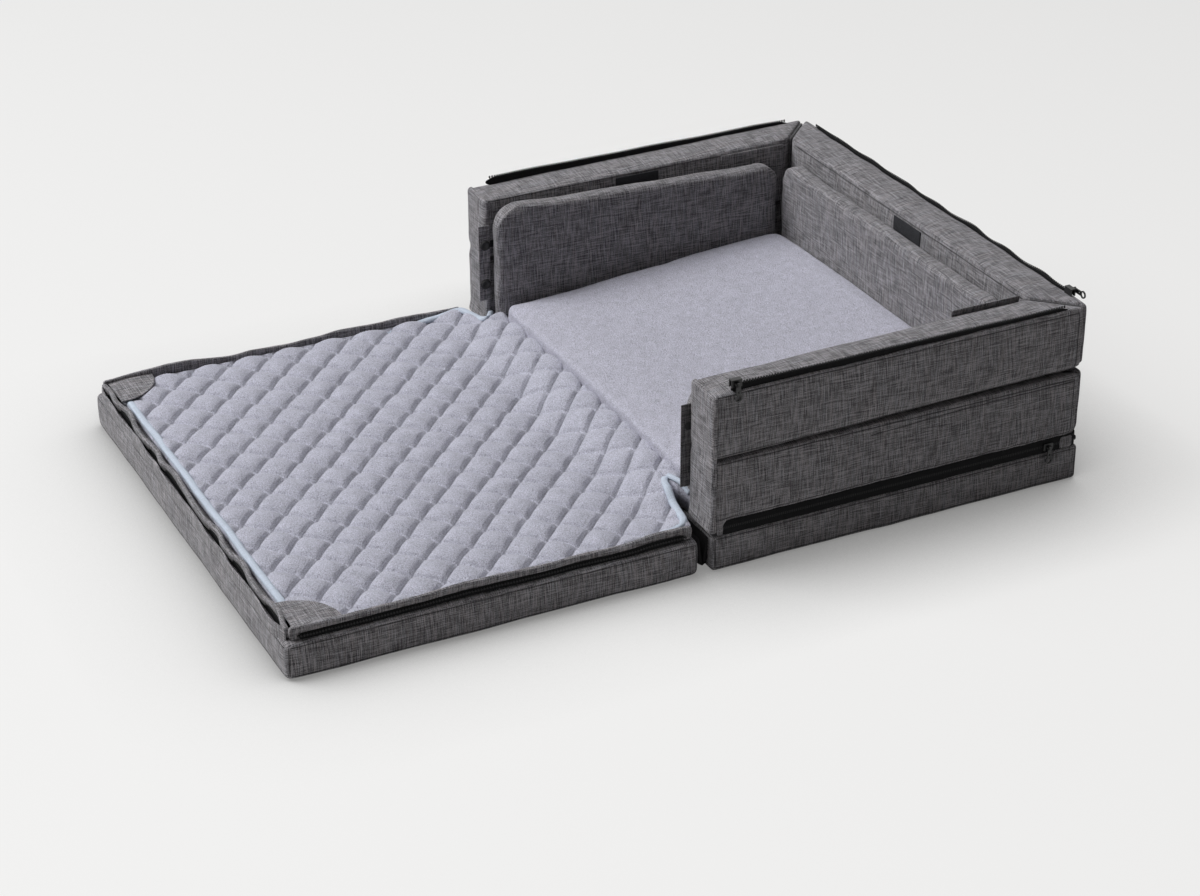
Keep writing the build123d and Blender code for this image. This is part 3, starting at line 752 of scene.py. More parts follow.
def alongPath(points, step, up=Vector((0, 0, 1))):
    # even stops along a polyline, each with its sideways and upward directions
    points = [Vector(p) for p in points]
    runs = [(b - a).length for a, b in zip(points, points[1:])]
    total = sum(runs)
    count = max(2, round(total / step))
    places = []
    for n in range(count + 1):
        left = total * n / count
        for a, b, run in zip(points, points[1:], runs):
            if left <= run + 1e-6:
                places.append(a.lerp(b, min(1.0, left / run)))
                break
            left -= run
    stops = []
    for n, place in enumerate(places):
        before, after = places[max(n - 1, 0)], places[min(n + 1, len(places) - 1)]
        heading = (after - before).normalized()
        stops.append((place, heading.cross(up).normalized(), up))
    return stops


def roundedPath(points, radius, steps=6):
    # an open polyline with its corners turned into short arcs
    points = [Vector(p) for p in points]
    made = [points[0]]
    for last, corner, following in zip(points, points[1:], points[2:]):
        before, after = last - corner, following - corner
        room = min(before.length, after.length) * 0.48
        before.normalize()
        after.normalize()
        reach = min(radius / math.tan(before.angle(after) / 2), room)
        start, end = corner + before * reach, corner + after * reach
        for k in range(steps + 1):
            t = k / steps
            made.append((start * (1 - t) + corner * t) * (1 - t) + (corner * (1 - t) + end * t) * t)
    return [*made, points[-1]]


def tubeOutline(radius, sides, squash=1.0):
    turns = [2 * math.pi * n / sides for n in range(sides)]
    return [(math.cos(turn) * radius, math.sin(turn) * radius * squash) for turn in turns]


def boxOutline(width, height, edge=0.3):
    w, h = width / 2, height
    right = [(w - edge, 0), (w, edge), (w, h - edge), (w - edge, h)]
    left = [(-w + edge, h), (-w, h - edge), (-w, edge)]
    return [(-w + edge, 0), *right, *left]


# foam blocks in their covers
blockSet = {
    "baseBlock": {"nodes": ("base_cover", "base_foam"), "body": "base", "cell": 9.0},
    "frontBlock": {
        "nodes": ("front_panel_cover", "front_panel_foam"),
        "body": "front_panel",
        "cell": 9.0,
        "radius": 8.0,
    },
}
for layer, body in (("Lower", "base"), ("Upper", "upper_wall")):
    for side in ("near", "far", "back"):
        stem = side + "_" + layer.lower() + "_wall"
        nodes = (stem + "_cover", stem + "_foam")
        blockSet[side + layer + "Wall"] = {"nodes": nodes, "body": body, "mitre": True}
wall = {
    "thickness": 49.0,
    "length": 450.0,
    "radius": 5.0,
    "cell": 6.5,
    "start": 0.9,
    "proud": 2.2,
    "proudAtFold": 1.5,
    "cap": 2.4,
    "ruffle": (0.9, 55.0),
    "zipBand": 13.5,
    "zipBlend": 3.0,
    "zipOver": 2.0,
    "zipStep": 4.6,
    "zipDepth": 12.0,
    "zipFront": 24.0,
    "frontDrop": 3.2,
    "backRise": 2.8,
    "gapRise": 7.5,
    "gapBack": 430.0,
    "gapBand": 14.0,
    "lowerRise": 3.0,
    "mitreGrow": 5.0,
}
blocks = {}


def mitred(place, low, high, name):
    # slides the ends of a wall's plan onto its mitres
    x, y, z = place
    width = wall["thickness"]
    if name.startswith("back"):
        half = (high.x - low.x) / 2
        middle = (high.x + low.x) / 2
        depth = (high.y - y) / (high.y - low.y)
        return Vector((middle + (x - middle) * (half + wall["mitreGrow"] - width * depth) / half, y, z))
    inner = (high.x - x) if name.startswith("near") else (x - low.x)
    share = (y - low.y) / (high.y - low.y)
    return Vector((x, y - (inner - wall["mitreGrow"]) * share, z))


def makeBlock(name, job):
    low, high = nodeBox(job["nodes"][0])
    cut = wall["start"]
    radius, cell = job.get("radius", wall["radius"]), job.get("cell", wall["cell"])
    startLow, startHigh = low + Vector((cut,) * 3), high - Vector((cut,) * 3)
    if name.endswith("Block"):
        startLow.z = low.z
    size = startHigh - startLow
    bm = gridBlock(size, radius, cell)
    bmesh.ops.translate(bm, vec=startLow, verts=bm.verts)
    thing = makeObject(bm, name, "linen")
    pinSeams(thing, size, radius, startLow)
    if job.get("mitre"):
        for vert in thing.data.vertices:
            vert.co = mitred(vert.co / mm, low, high, name) * mm
    blocks[name] = thing
    pressure = 3.5 if name.endswith("Block") else 5.0
    return thing, {"cap": wall["cap"], "pressure": pressure, "spare": 0.006}


def easeIn(value, start, end):
    share = min(1.0, max(0.0, (value - start) / (end - start)))
    return share * share * (3 - 2 * share)


def wallTip(y):
    along = min(1.0, max(0.0, y / wall["length"]))
    return -wall["frontDrop"] + (wall["frontDrop"] + wall["backRise"]) * along


def lean(thing, name, low, high):
    # the upper wall tips up towards the back, and the joint's outer edge lifts on both layers
    reach = max(high.x, -low.x)
    for vert in thing.data.vertices:
        place = vert.co / mm
        level = (place.z - low.z) / (high.z - low.z)
        back = easeIn(place.y, 0.0, wall["gapBack"])
        if name.startswith("back"):
            outer = easeIn(place.y, high.y - wall["gapBand"], high.y)
        else:
            outer = easeIn(abs(place.x), reach - wall["gapBand"], reach)
        if "Upper" in name:
            rise = wallTip(place.y) * level
            rise += wall["gapRise"] * back * outer * max(0.0, 1 - level * 3)
        else:
            rise = wall["lowerRise"] * back * outer * max(0.0, 1 - (1 - level) * 3)
        vert.co.z += rise * mm


def setBackFoot(thing, name, low, high):
    # the wall's foot steps inward behind the base zip
    band, blend, depth = low.z + wall["zipBand"], wall["zipBlend"], wall["zipDepth"]
    for vert in thing.data.vertices:
        place = vert.co / mm
        if place.z < band + blend and place.y > wall["zipFront"]:
            step = min(1.0, max(0.0, (band + wall["zipOver"] - place.z) / blend)) * wall["zipStep"]
            if name.startswith("back") and place.y > high.y - depth:
                vert.co.y -= step * mm
            elif name.startswith("near") and place.x > high.x - depth:
                vert.co.x -= step * mm
            elif name.startswith("far") and place.x < low.x + depth:
                vert.co.x += step * mm


def shapeBlock(name, job, seed):
    thing = blocks[name]
    low, high = nodeBox(job["nodes"][0])
    ruffle(thing, *wall["ruffle"], seed)
    proud = wall["proud"]
    top = proud if "Upper" in name else 0.0
    keepLow = Vector((low.x - proud, low.y - proud, low.z))
    keepHigh = Vector((high.x + proud, high.y + proud, high.z + top))
    if name == "baseBlock" or "near" in name or "far" in name:
        keepLow.y = low.y - wall["proudAtFold"]
    if name == "frontBlock":
        keepHigh.y = high.y + wall["proudAtFold"]
    if name.startswith("back"):
        keepLow.x -= wall["mitreGrow"]
        keepHigh.x += wall["mitreGrow"]
    elif job.get("mitre"):
        keepHigh.y += wall["mitreGrow"]
    keepInside(thing, keepLow, keepHigh)
    if "Wall" in name:
        lean(thing, name, low, high)
    if "Lower" in name:
        setBackFoot(thing, name, low, high)
    divide(thing)
    settle(thing, job["body"], "grey_linen_cloth", *job["nodes"])


def makeBlocks():
    jobs = [makeBlock(name, job) for name, job in blockSet.items()]
    airUp(jobs)
    for n, (name, job) in enumerate(blockSet.items()):
        shapeBlock(name, job, n + 1)
    print("blocks made:", len(blocks))


# seat pad and bumpers
seatPad = {
    "front": 33.0,
    "back": 57.0,
    "crown": 3.6,
    "radius": 10.0,
    "cell": 8.0,
    "cap": 3.0,
    "ruffle": (0.8, 70.0),
    "foot": 4.0,
    "softFront": 30.0,
    "corners": (12.0, 12.0, 24.0, 24.0),
}


def turnCorner(a, b, size, radii):
    # rounds the corners of a board's face: radii for low-left, low-right, high-left, high-right
    for n, radius in enumerate(radii):
        signA, signB = (-1 if n % 2 == 0 else 1), (-1 if n < 2 else 1)
        cornerA = radius if signA < 0 else size[0] - radius
        cornerB = radius if signB < 0 else size[1] - radius
        da, db = (a - cornerA) * signA, (b - cornerB) * signB
        if da > 0 and db > 0:
            ra, rb = min(da / radius, 1.0), min(db / radius, 1.0)
            a = cornerA + signA * radius * ra * math.sqrt(1 - rb * rb / 2)
            b = cornerB + signB * radius * rb * math.sqrt(1 - ra * ra / 2)
    return a, b


def makeSeat():
    low, high = nodeBox("seat_pad_cover")
    size = high - low
    bm = gridBlock(size, seatPad["radius"], seatPad["cell"])
    for vert in bm.verts:
        x, y, z = vert.co
        along = y / size.y
        across = (x - size.x / 2) / (size.x / 2)
        rise = seatPad["front"] + (seatPad["back"] - seatPad["front"]) * along
        rise -= seatPad["crown"] * across * across
        x, y = turnCorner(x, y, size, seatPad["corners"])
        vert.co = Vector((x, y, rise * z / size.z))
    bmesh.ops.translate(bm, vec=low, verts=bm.verts)
    thing = makeObject(bm, "seatPad", "fleeceCloth")
    pinSeams(
        thing,
        size,
        seatPad["radius"],
        low,
        hold=[lambda p: p.z < seatPad["foot"]],
        free=lambda p: p.y < seatPad["softFront"] and p.z > seatPad["foot"],
    )
    return thing


def shapeSeat(thing):
    low, high = nodeBox("seat_pad_cover")
    ruffle(thing, *seatPad["ruffle"], 21)
    keepInside(thing, low - Vector((0.6, 1.5, 0)), high + Vector((0.6, 0.4, 5)))
    divide(thing)
    settle(thing, "base", "terry_cloth", "seat_pad_cover", "seat_pad_foam")


# along is the bumper's long axis, 0 for x and 1 for y
bumperSet = {
    "nearBumper": {"node": "near_bumper", "along": 1, "front": 32.0, "back": 24.0, "drop": (14.0, 14.0)},
    "farBumper": {"node": "far_bumper", "along": 1, "front": 32.0, "back": 24.0, "drop": (-1.0, 11.0)},
    "backBumper": {"node": "back_bumper", "along": 0, "front": 24.0, "back": 24.0, "drop": (8.0, 8.0)},
}
bumperSoft = {
    "foot": 12.0,
    "edge": 7.0,
    "cell": 6.0,
    "bow": 1.6,
    "cap": 3.0,
    "held": 4.0,
    "ruffle": (1.0, 45.0),
}


def makeBumper(name):
    job = bumperSet[name]
    low, high = nodeBox(job["node"] + "_cover")
    size = high - low
    bm = gridBlock(size, bumperSoft["edge"], bumperSoft["cell"])
    radii = (bumperSoft["foot"], bumperSoft["foot"], job["front"], job["back"])
    along, across = job["along"], 1 - job["along"]
    length, middle = size[along], size[across] / 2
    first, last = job["drop"]
    for vert in bm.verts:
        share = vert.co[along] / length * 2 - 1
        a, b = turnCorner(vert.co[along], vert.co.z, (length, size.z), radii)
        b -= (bumperSoft["bow"] * share * share + first + (last - first) * a / length) * (b / size.z)
        vert.co[along] = a
        vert.co.z = b
    bmesh.ops.translate(bm, vec=low, verts=bm.verts)
    thing = makeObject(bm, name, "linen")
    group = thing.vertex_groups.new(name="seam")
    for vert in thing.data.vertices:
        place = vert.co / mm - low
        onFace = abs(place[across] - middle) > middle - 0.2
        if place.z < bumperSoft["held"] or onFace and byEdge(place, size, along):
            group.add([vert.index], 1.0, "REPLACE")
    return thing


def byEdge(place, size, along):
    edge = bumperSoft["edge"] * 1.2
    return place[along] < edge or place[along] > size[along] - edge or place.z > size.z - edge


def shapeBumper(name, thing):
    job = bumperSet[name]
    low, high = nodeBox(job["node"] + "_cover")
    ruffle(thing, *bumperSoft["ruffle"], len(name))
    keepInside(thing, low - Vector((0.8, 0.8, 0)), high + Vector((0.8, 0.8, 1.5)))
    divide(thing)
    settle(thing, "base", "grey_linen_cloth", job["node"] + "_cover", job["node"] + "_foam")


def makePads():
    seat = makeSeat()
    bumpers = {name: makeBumper(name) for name in bumperSet}
    jobs = [(seat, {"cap": seatPad["cap"], "pressure": 3.0, "spare": 0.01})]
    soft = {"cap": bumperSoft["cap"], "pressure": 4.0, "spare": 0.01}
    jobs += [(thing, soft) for thing in bumpers.values()]
    airUp(jobs)
    shapeSeat(seat)
    for name, thing in bumpers.items():
        shapeBumper(name, thing)
    print("pads made:", 1 + len(bumpers))


# the quilt, with the pockets that hold its front corners
pocket = {
    "radius": 50.0,
    "thick": 1.6,
    "stretch": 1.03,
    "crown": 0.9,
    "ripple": 0.5,
    "hem": 0.5,
    "hemFrom": 0.93,
    "pressIn": 4,
    "pressOut": 6,
}
quilt = {
    "cells": 14,
    "top": 51.0,
    "deep": 5.6,
    "swell": 2.8,
    "roundness": 0.34,
    "pucker": 1.6,
    "uneven": 0.9,
    "under": 42.6,
    "side": 288.3,
    "end": -436.9,
    "nearTip": 214.0,
    "farTip": -240.0,
    "setBack": 13.0,
    "foldRise": 20.5,
    "farRise": -4.0,
    "hem": 2.5,
    "rim": 9.0,
    "sideRim": 5.0,
    "sideFrom": 276,
    "pressed": 0.8,
    "loose": 1.8,
    "looseWave": 55.0,
    "heldAtFold": 12.0,
    "corner": 5.0,
}
# where the quilt's bulge over the fold rises and falls from front to rear, and how its ends differ
foldBulge = {
    "rise": (-52.0, 9.0),
    "fall": (14.0, 30.0),
    "farSide": (100.0, 235.0),
    "ends": (226.0, 246.0),
    "endDrop": 0.45,
}
# the two rows of stitching: distance apart, the way they face, and where they start
stitching = {"across": (36.1, -45.5, 0.64), "along": (33.9, 44.5, 0.91)}


def stitchPlace(x, y):
    # how many diamonds along each diagonal, whole numbers lying on the stitching
    found = []
    for pitch, angle, start in stitching.values():
        turn = math.radians(angle)
        found.append((x * math.cos(turn) + y * math.sin(turn)) / pitch - start)
    return found


def planPlace(a, b):
    # the plan point of a place in the stitching; the two rows stand square to each other
    (pitchA, angleA, startA), (pitchB, angleB, startB) = stitching.values()
    u, v = (a + startA) * pitchA, (b + startB) * pitchB
    turnA, turnB = math.radians(angleA), math.radians(angleB)
    return u * math.sin(turnB) - v * math.sin(turnA), v * math.cos(turnA) - u * math.cos(turnB)


def quiltHeight(x, y):
    a, b = stitchPlace(x, y)
    puff = (abs(math.sin(math.pi * a)) * abs(math.sin(math.pi * b))) ** quilt["roundness"]
    pucker = waviness((x, y, 0), 8.0, 5) * (1 - puff) * quilt["pucker"]
    pucker += waviness((x, y, 0), 24.0, 6) * quilt["uneven"]
    return quilt["top"] - quilt["deep"] * (1 - puff) + quilt["swell"] * puff + pucker


def foldRise(x, y):
    # the quilt bulges where it runs over the fold and up against the seat pad
    near = easeIn(y, *foldBulge["rise"]) * (1 - easeIn(y, *foldBulge["fall"]))
    height = quilt["foldRise"] + quilt["farRise"] * easeIn(-x, *foldBulge["farSide"])
    return near * (height * (1 - foldBulge["endDrop"] * easeIn(abs(x), *foldBulge["ends"])))


def underPocket(x, y):
    # 1 where the quilt lies under a corner pocket
    low, high = nodeBox("corner_pockets")
    reach = math.hypot(high.x - abs(x), y - low.y)
    radius = pocket["radius"]
    return 1 - easeIn(reach, radius - pocket["pressIn"], radius + pocket["pressOut"])


def quiltGrid(corners):
    # a grid whose rows follow the stitching, large enough to cover the corners
    spots = [stitchPlace(x, y) for x, y in corners]
    lowA, lowB = (min(round(value - 0.5) for value in row) for row in zip(*spots))
    highA, highB = (max(round(value + 0.5) for value in row) for row in zip(*spots))
    stepsA, stepsB = (highA - lowA) * quilt["cells"], (highB - lowB) * quilt["cells"]
    bm = bmesh.new()
    bmesh.ops.create_grid(bm, x_segments=stepsA, y_segments=stepsB, size=0.5)
    for vert in bm.verts:
        a = lowA + (vert.co.x + 0.5) * (highA - lowA)
        b = lowB + (vert.co.y + 0.5) * (highB - lowB)
        vert.co = (*planPlace(a, b), 0)
    bmesh.ops.recalc_face_normals(bm, faces=bm.faces)
    return bm


def quiltPiece(name, cuts, body, node):
    bm = quiltGrid([corner for cut in cuts for corner in cut])
    planes = []
    for (ax, ay), (bx, by) in cuts:
        start, run = Vector((ax, ay, 0)), Vector((bx - ax, by - ay, 0))
        outward = Vector((run.y, -run.x, 0)).normalized()
        if not ay == by == 0:
            planes.append((start, outward))
        geom = [*bm.verts, *bm.edges, *bm.faces]
        plane = {"plane_co": start, "plane_no": outward, "dist": 0.001}
        bmesh.ops.bisect_plane(bm, geom=geom, clear_outer=True, **plane)
    layer = bm.loops.layers.uv.new("stitch")
    for face in bm.faces:
        for corner in face.loops:
            corner[layer].uv = stitchPlace(corner.vert.co.x, corner.vert.co.y)
    for vert in bm.verts:
        x, y = vert.co.x, vert.co.y
        inset = min(-(vert.co - start).dot(outward) for start, outward in planes)
        rise = easeIn(inset, 0.0, quilt["rim"] if abs(x) < quilt["sideFrom"] else quilt["sideRim"])
        full = quiltHeight(x, y)
        covered = underPocket(x, y)
        full = full * (1 - covered) + min(full, quilt["top"] - quilt["pressed"]) * covered
        vert.co.z = (quilt["top"] - quilt["hem"]) * (1 - rise) + full * rise + foldRise(x, y)
        loose = rise * easeIn(abs(y), 0.0, quilt["heldAtFold"])
        vert.co.x += waviness((x, y, 0), quilt["looseWave"], 3) * quilt["loose"] * loose
        vert.co.y += waviness((x, y, 0), quilt["looseWave"], 4) * quilt["loose"] * loose
    rim = [e for e in bm.edges if e.is_boundary]
    made = bmesh.ops.extrude_edge_only(bm, edges=rim)["geom"]
    foot = [v for v in made if isinstance(v, bmesh.types.BMVert)]
    for vert in foot:
        vert.co.z = quilt["under"]
    edges = [e for e in made if isinstance(e, bmesh.types.BMEdge) and e.is_boundary]
    bmesh.ops.edgeloop_fill(bm, edges=edges)
    thing = makeObject(bm, name, "terryCloth")
    for edge in thing.data.edges:  # no soft shading over the cut where the two quilts meet
        ends = [thing.data.vertices[n].co / mm for n in edge.vertices]
        edge.use_edge_sharp = all(abs(p.y) < 0.01 and p.z > quilt["under"] + 1 for p in ends)
    settle(thing, body, "terry_cloth", node)


def makeQuilt():
    side, end, back = quilt["side"], quilt["end"], quilt["setBack"]
    near, far = quilt["nearTip"], quilt["farTip"]
    corner = quilt["corner"]
    frontCuts = [
        ((-side + corner, end), (side - corner, end)),
        ((side - corner, end), (side, end + corner)),
        ((side, end), (side, -back)),
        ((side, -back), (near, 0.0)),
        ((near, 0.0), (far, 0.0)),
        ((far, 0.0), (-side, -back)),
        ((-side, -back), (-side, end)),
        ((-side, end + corner), (-side + corner, end)),
    ]
    quiltPiece("quiltFront", frontCuts, "front_panel", "quilted_pad")
    inner, rear = nodeBox("rear_quilt_binding")[1].x - 1.0, nodeBox("rear_quilt")[1].y
    rearCuts = [
        ((far, 0.0), (near, 0.0)),
        ((near, 0.0), (inner, back)),
        ((inner, back), (inner, rear)),
        ((inner, rear), (-inner, rear)),
        ((-inner, rear), (-inner, back)),
        ((-inner, back), (far, 0.0)),
    ]
    quiltPiece("quiltRear", rearCuts, "base", "rear_quilt")


binding = {
    "width": 8.4,
    "rise": 3.0,
    "below": 1.2,
    "sway": 1.1,
    "bob": 0.8,
    "lift": 0.6,
    "nearTuck": 4.6,
    "farTuck": 6.5,
    "pocketTuck": 3.4,
    "tuckAcross": (262.0, 280.0),
    "tuckAlong": (-110.0, -50.0),
}


def bindingOutline():
    w, h = binding["width"] / 2, binding["rise"]
    foot = [(-w, -h), (-w * 0.2, -h), (w, -h), (w * 1.05, -h * 0.2)]
    crown = [(w * 0.8, h * 0.7), (w * 0.1, h * 0.85), (-w * 0.75, h * 0.75), (-w, -h * 0.1)]
    return foot + crown


def raised(place):
    return place + Vector((0, 0, foldRise(place.x, place.y)))


def bindingTuck(place):
    # down the sides the binding is tucked under the lips, and at the front corners under the pockets
    tucked = easeIn(abs(place.x), *binding["tuckAcross"]) * (1 - easeIn(place.y, *binding["tuckAlong"]))
    depth = binding["nearTuck"] if place.x > 0 else binding["farTuck"]
    return max(tucked * depth, underPocket(place.x, place.y) * binding["pocketTuck"])


def makeBinding():
    side, end, back = quilt["side"], quilt["end"], quilt["setBack"]
    near, far = quilt["nearTip"], quilt["farTip"]
    inset = binding["width"] / 2
    level = quilt["top"] - binding["below"]
    corners = [
        (near - 5, -0.8),
        (near + 1, -1.2 - inset),
        (side - inset, -back - inset * 0.6),
        (side - inset, end + inset),
        (-side + inset, end + inset),
        (-side + inset, -back - inset * 0.6),
        (far - 1, -1.2 - inset),
        (far + 5, -0.8),
    ]
    path = roundedPath([(x, y, level) for x, y in corners], 9.0)
    wavy = []
    for place, sideways, up in alongPath(path, 5.0):
        shift = waviness(place, 38.0, 8) * binding["sway"]
        lift = waviness(place, 45.0, 9) * binding["bob"] + binding["lift"]
        moved = raised(place) + sideways * shift + up * (lift - bindingTuck(place))
        wavy.append((moved, sideways, up))
    bm = sweep(bmesh.new(), bindingOutline(), wavy)
    makeCloth(bm, "quiltBinding", "bindingTape", "front_panel", "binding_tape", "quilt_binding")

    bm = bmesh.new()
    inner = nodeBox("rear_quilt_binding")[1].x
    for tip, sign in ((near, 1), (far, -1)):
        reach = inner - inset if sign > 0 else inner + 6
        path = [(tip - sign * 5, 1.6, level), (tip + sign * 2, 3.8, level), (sign * reach, 11.0, level)]
        stops = alongPath(roundedPath(path, 5.0), 2.0)
        lifted = [(raised(place) + up * 1.4, sideways, up) for place, sideways, up in stops]
        sweep(bm, tubeOutline(binding["width"] * 0.4, 10, 0.85), lifted)
    makeCloth(bm, "quiltBindingRear", "bindingTape", "base", "binding_tape", "rear_quilt_binding")
    print("quilt made")


# zips
tooth = {"pitch": 3.2, "long": 1.9, "wide": 1.5, "tall": 3.0, "sunk": 1.5}


def addTeeth(bm, stops, size):
    long, wide, tall = size
    for place, side, up in stops:
        heading = up.cross(side).normalized()
        turn = Matrix((side * wide, heading * long, up * tall)).transposed().to_4x4()
        spot = place + up * (tall / 2)
        bmesh.ops.create_cube(bm, size=1, matrix=Matrix.Translation(spot) @ turn)


def teethPiece(name, body, runs, size, nodes):
    bm = bmesh.new()
    for stops in runs:
        addTeeth(bm, stops, size)
    shape = {"offset": 0.35, "offset_type": "OFFSET", "segments": 1, "profile": 0.5}
    bmesh.ops.bevel(bm, geom=bm.edges, affect="EDGES", material=-1, **shape)
    thing = makeObject(bm, name, "zipTeeth", smooth=False)
    settle(thing, body, "zip_teeth", *nodes)


wallTop = nodeBox("near_upper_wall_cover")[1].z
rimLine = (nodeBox("near_rim_zip_tape")[0].x + nodeBox("near_rim_zip_tape")[1].x) / 2
backLine = nodeBox("back_rim_zip_tape")[0].y + 0.6
rimTape = {"thick": 1.2, "tall": 5.4, "sink": 7.0, "step": 6.0, "inset": 6.0, "calmEnd": 40.0}
# how far the rim zips wander, sideways and up, and how they lean
backWave = {
    "swingLength": 68.0,
    "swingStart": 1.1,
    "swing": 0.9,
    "unevenSwing": 2.2,
    "liftLength": 72.0,
    "lift": 0.5,
    "unevenLift": 1.1,
    "lean": 0.16,
}
armWave = {"unevenSwing": 1.6, "unevenLift": 0.9, "lean": 0.14}


def rimStops(name, start, end, step):
    # the line of a standing rim zip's foot, wandering as the cloth does
    stops = []
    count = round(abs(end - start) / step)
    for n in range(count + 1):
        along = start + (end - start) * n / count
        toEnd = min(along - min(start, end), max(start, end) - along)
        fade = min(1.0, toEnd / rimTape["calmEnd"])
        if name == "back":
            wave = backWave
            swing = math.sin(along / wave["swingLength"] * 2 * math.pi + wave["swingStart"]) * wave["swing"]
            swing += waviness((along, 0, 0), 50.0, 12) * wave["unevenSwing"]
            lift = math.cos(along / wave["liftLength"] * 2 * math.pi) * wave["lift"]
            lift += waviness((along, 9, 0), 34.0, 13) * wave["unevenLift"]
            x, y = along, backLine + swing * fade
            side, up = Vector((0, 1, 0)), Vector((0, wave["lean"] * fade, 1))
        else:
            wave = armWave
            sign = 1 if name == "near" else -1
            swing = waviness((along, sign * 40, 0), 70.0, 14) * wave["unevenSwing"]
            lift = waviness((along, sign * 70, 0), 60.0, 15) * wave["unevenLift"]
            x, y = sign * (rimLine + swing * fade), along
            side, up = Vector((sign, 0, 0)), Vector((sign * wave["lean"] * fade, 0, 1))
        stops.append((Vector((x, y, wallTop - 0.2 + lift * fade)), side, up.normalized()))
    return stops


def taper(number, last):
    # the tape's ends are tucked down into the seam
    return min(1.0, 0.25 + 0.75 * min(number, last - number) / 2)


def makeRimZips():
    teethRuns = []
    height = rimTape["tall"] + rimTape["sink"]
    outline = boxOutline(rimTape["thick"], height, 0.4)
    outline = [(across, rise - rimTape["sink"]) for across, rise in outline]
    for name in ("near", "back", "far"):
        low, high = nodeBox(name + "_rim_zip_tape")
        start, end = (low.x, high.x) if name == "back" else (low.y, high.y)
        stops = rimStops(name, start, end, rimTape["step"])
        stops = [(place, side, up * taper(n, len(stops) - 1)) for n, (place, side, up) in enumerate(stops)]
        bm = sweep(bmesh.new(), outline, stops)
        makeCloth(bm, name + "RimTape", "zipTape", "upper_wall", "black_zip_tape", name + "_rim_zip_tape")
        fine = rimStops(name, start + rimTape["inset"], end - rimTape["inset"], tooth["pitch"])
        rise = rimTape["tall"] - tooth["sunk"]
        teethRuns.append([(place + up * rise, side, up) for place, side, up in fine])
    size = (tooth["long"], tooth["wide"], tooth["tall"])
    teethPiece("rimTeeth", "upper_wall", teethRuns, size, ["rim_zip_teeth"])


cadBlock = nodeBox("base_cover")[1]
baseZip = {
    "tapeInset": 2.8,
    "tapeThick": 1.6,
    "teethInset": 2.5,
    "corner": 6.0,
    "pitch": 2.2,
    "tooth": (1.3, 1.3, 3.2),
}


def ringPath(inset, start, z):
    half = cadBlock.x - inset
    back = cadBlock.y - inset
    corners = [(half, start, z), (half, back, z), (-half, back, z), (-half, start, z)]
    return roundedPath(corners, baseZip["corner"])


def makeBaseZip():
    low, high = nodeBox("base_zip_tape")
    wavy = []
    for place, side, up in alongPath(ringPath(baseZip["tapeInset"], low.y, low.z - 1.4), 7.0):
        wavy.append((place + Vector((0, 0, waviness(place, 70.0, 16) * 0.8)), side, up))
    bm = sweep(bmesh.new(), boxOutline(baseZip["tapeThick"], high.z - low.z + 2.6, 0.5), wavy)
    makeCloth(bm, "baseZipTape", "zipTape", "base", "black_zip_tape", "base_zip_tape")
    middle = (low.z + high.z) / 2
    path = ringPath(baseZip["teethInset"], low.y + 1.5, middle - baseZip["tooth"][2] / 2)
    stops = alongPath(path, baseZip["pitch"])
    teethPiece("baseTeeth", "base", [stops], baseZip["tooth"], ["base_zip_teeth"])

    bm = bmesh.new()
    tabs = nodeBox("base_zip_end_tabs")
    z = low.z - 0.4
    for sign in (-1, 1):
        for start, end in ((tabs[0].y + 1, low.y + 1.5), (cadBlock.y - 26, cadBlock.y - 10)):
            bowed = ((2.2, start), (1.6, (start + end) / 2), (2.2, end))
            path = [(sign * (cadBlock.x - inset), y, z) for inset, y in bowed]
            sweep(bm, boxOutline(2.0, high.z - low.z, 0.7), alongPath(path, 3.0))
    makeCloth(bm, "baseZipEndTabs", "linen", "base", "grey_linen_cloth", "base_zip_end_tabs")


lip = {
    "thick": 2.6,
    "flare": 2.4,
    "tall": 14.6,
    "inward": 0.1,
    "foot": 5.0,
    "sway": 1.6,
    "rise": 5.6,
    "ripple": 1.0,
    "tilt": 0.2,
    "rows": 66,
    "endRows": 90,
}


def lipOutline():
    t, f, h = lip["thick"] / 2, lip["flare"], lip["tall"]
    outer = [(-t, -1), (t, -1), (t, h * 0.52), (t + f, h * 0.66), (t + f, h * 0.86)]
    return [*outer, (t + f * 0.5, h), (-t * 0.6, h), (-t, h * 0.8)]


endLips = (
    {
        "place": -2.4,
        "swing": 0.9,
        "foot": 6.0,
        "tall": 11.0,
        "thick": 0.9,
        "shift": 0.0,
        "lean": 0.05,
        "roll": 0.08,
        "gather": 5.0,
    },
    {
        "place": 8.2,
        "swing": 2.0,
        "foot": 1.0,
        "tall": 13.6,
        "thick": 2.9,
        "shift": 3.14,
        "lean": 0.1,
        "roll": -0.14,
        "gather": -2.5,
    },
)


endWave = {"length": 92.0, "drift": 3.2, "blunt": 0.8, "even": 0.8, "uneven": 0.5, "ripple": 0.6, "fade": 22}


def lipWave(sign, y):
    # how the side lips and their zips wander: sideways, up and leaning
    low, high = nodeBox("side_lips")
    fade = min(1.0, (y - low.y) / 25, (high.y - y) / 25)
    sideways = waviness((sign * 200, y, 0), 60.0, 19) * lip["sway"]
    rise = waviness((sign * 200, y, 0), 58.0, 18) * lip["rise"]
    rise += waviness((sign * 90, y, 0), 21.0, 36) * lip["ripple"]
    tilt = waviness((sign * 200, y, 0), 48.0, 17) * lip["tilt"]
    return sideways * fade, rise * fade, tilt * fade


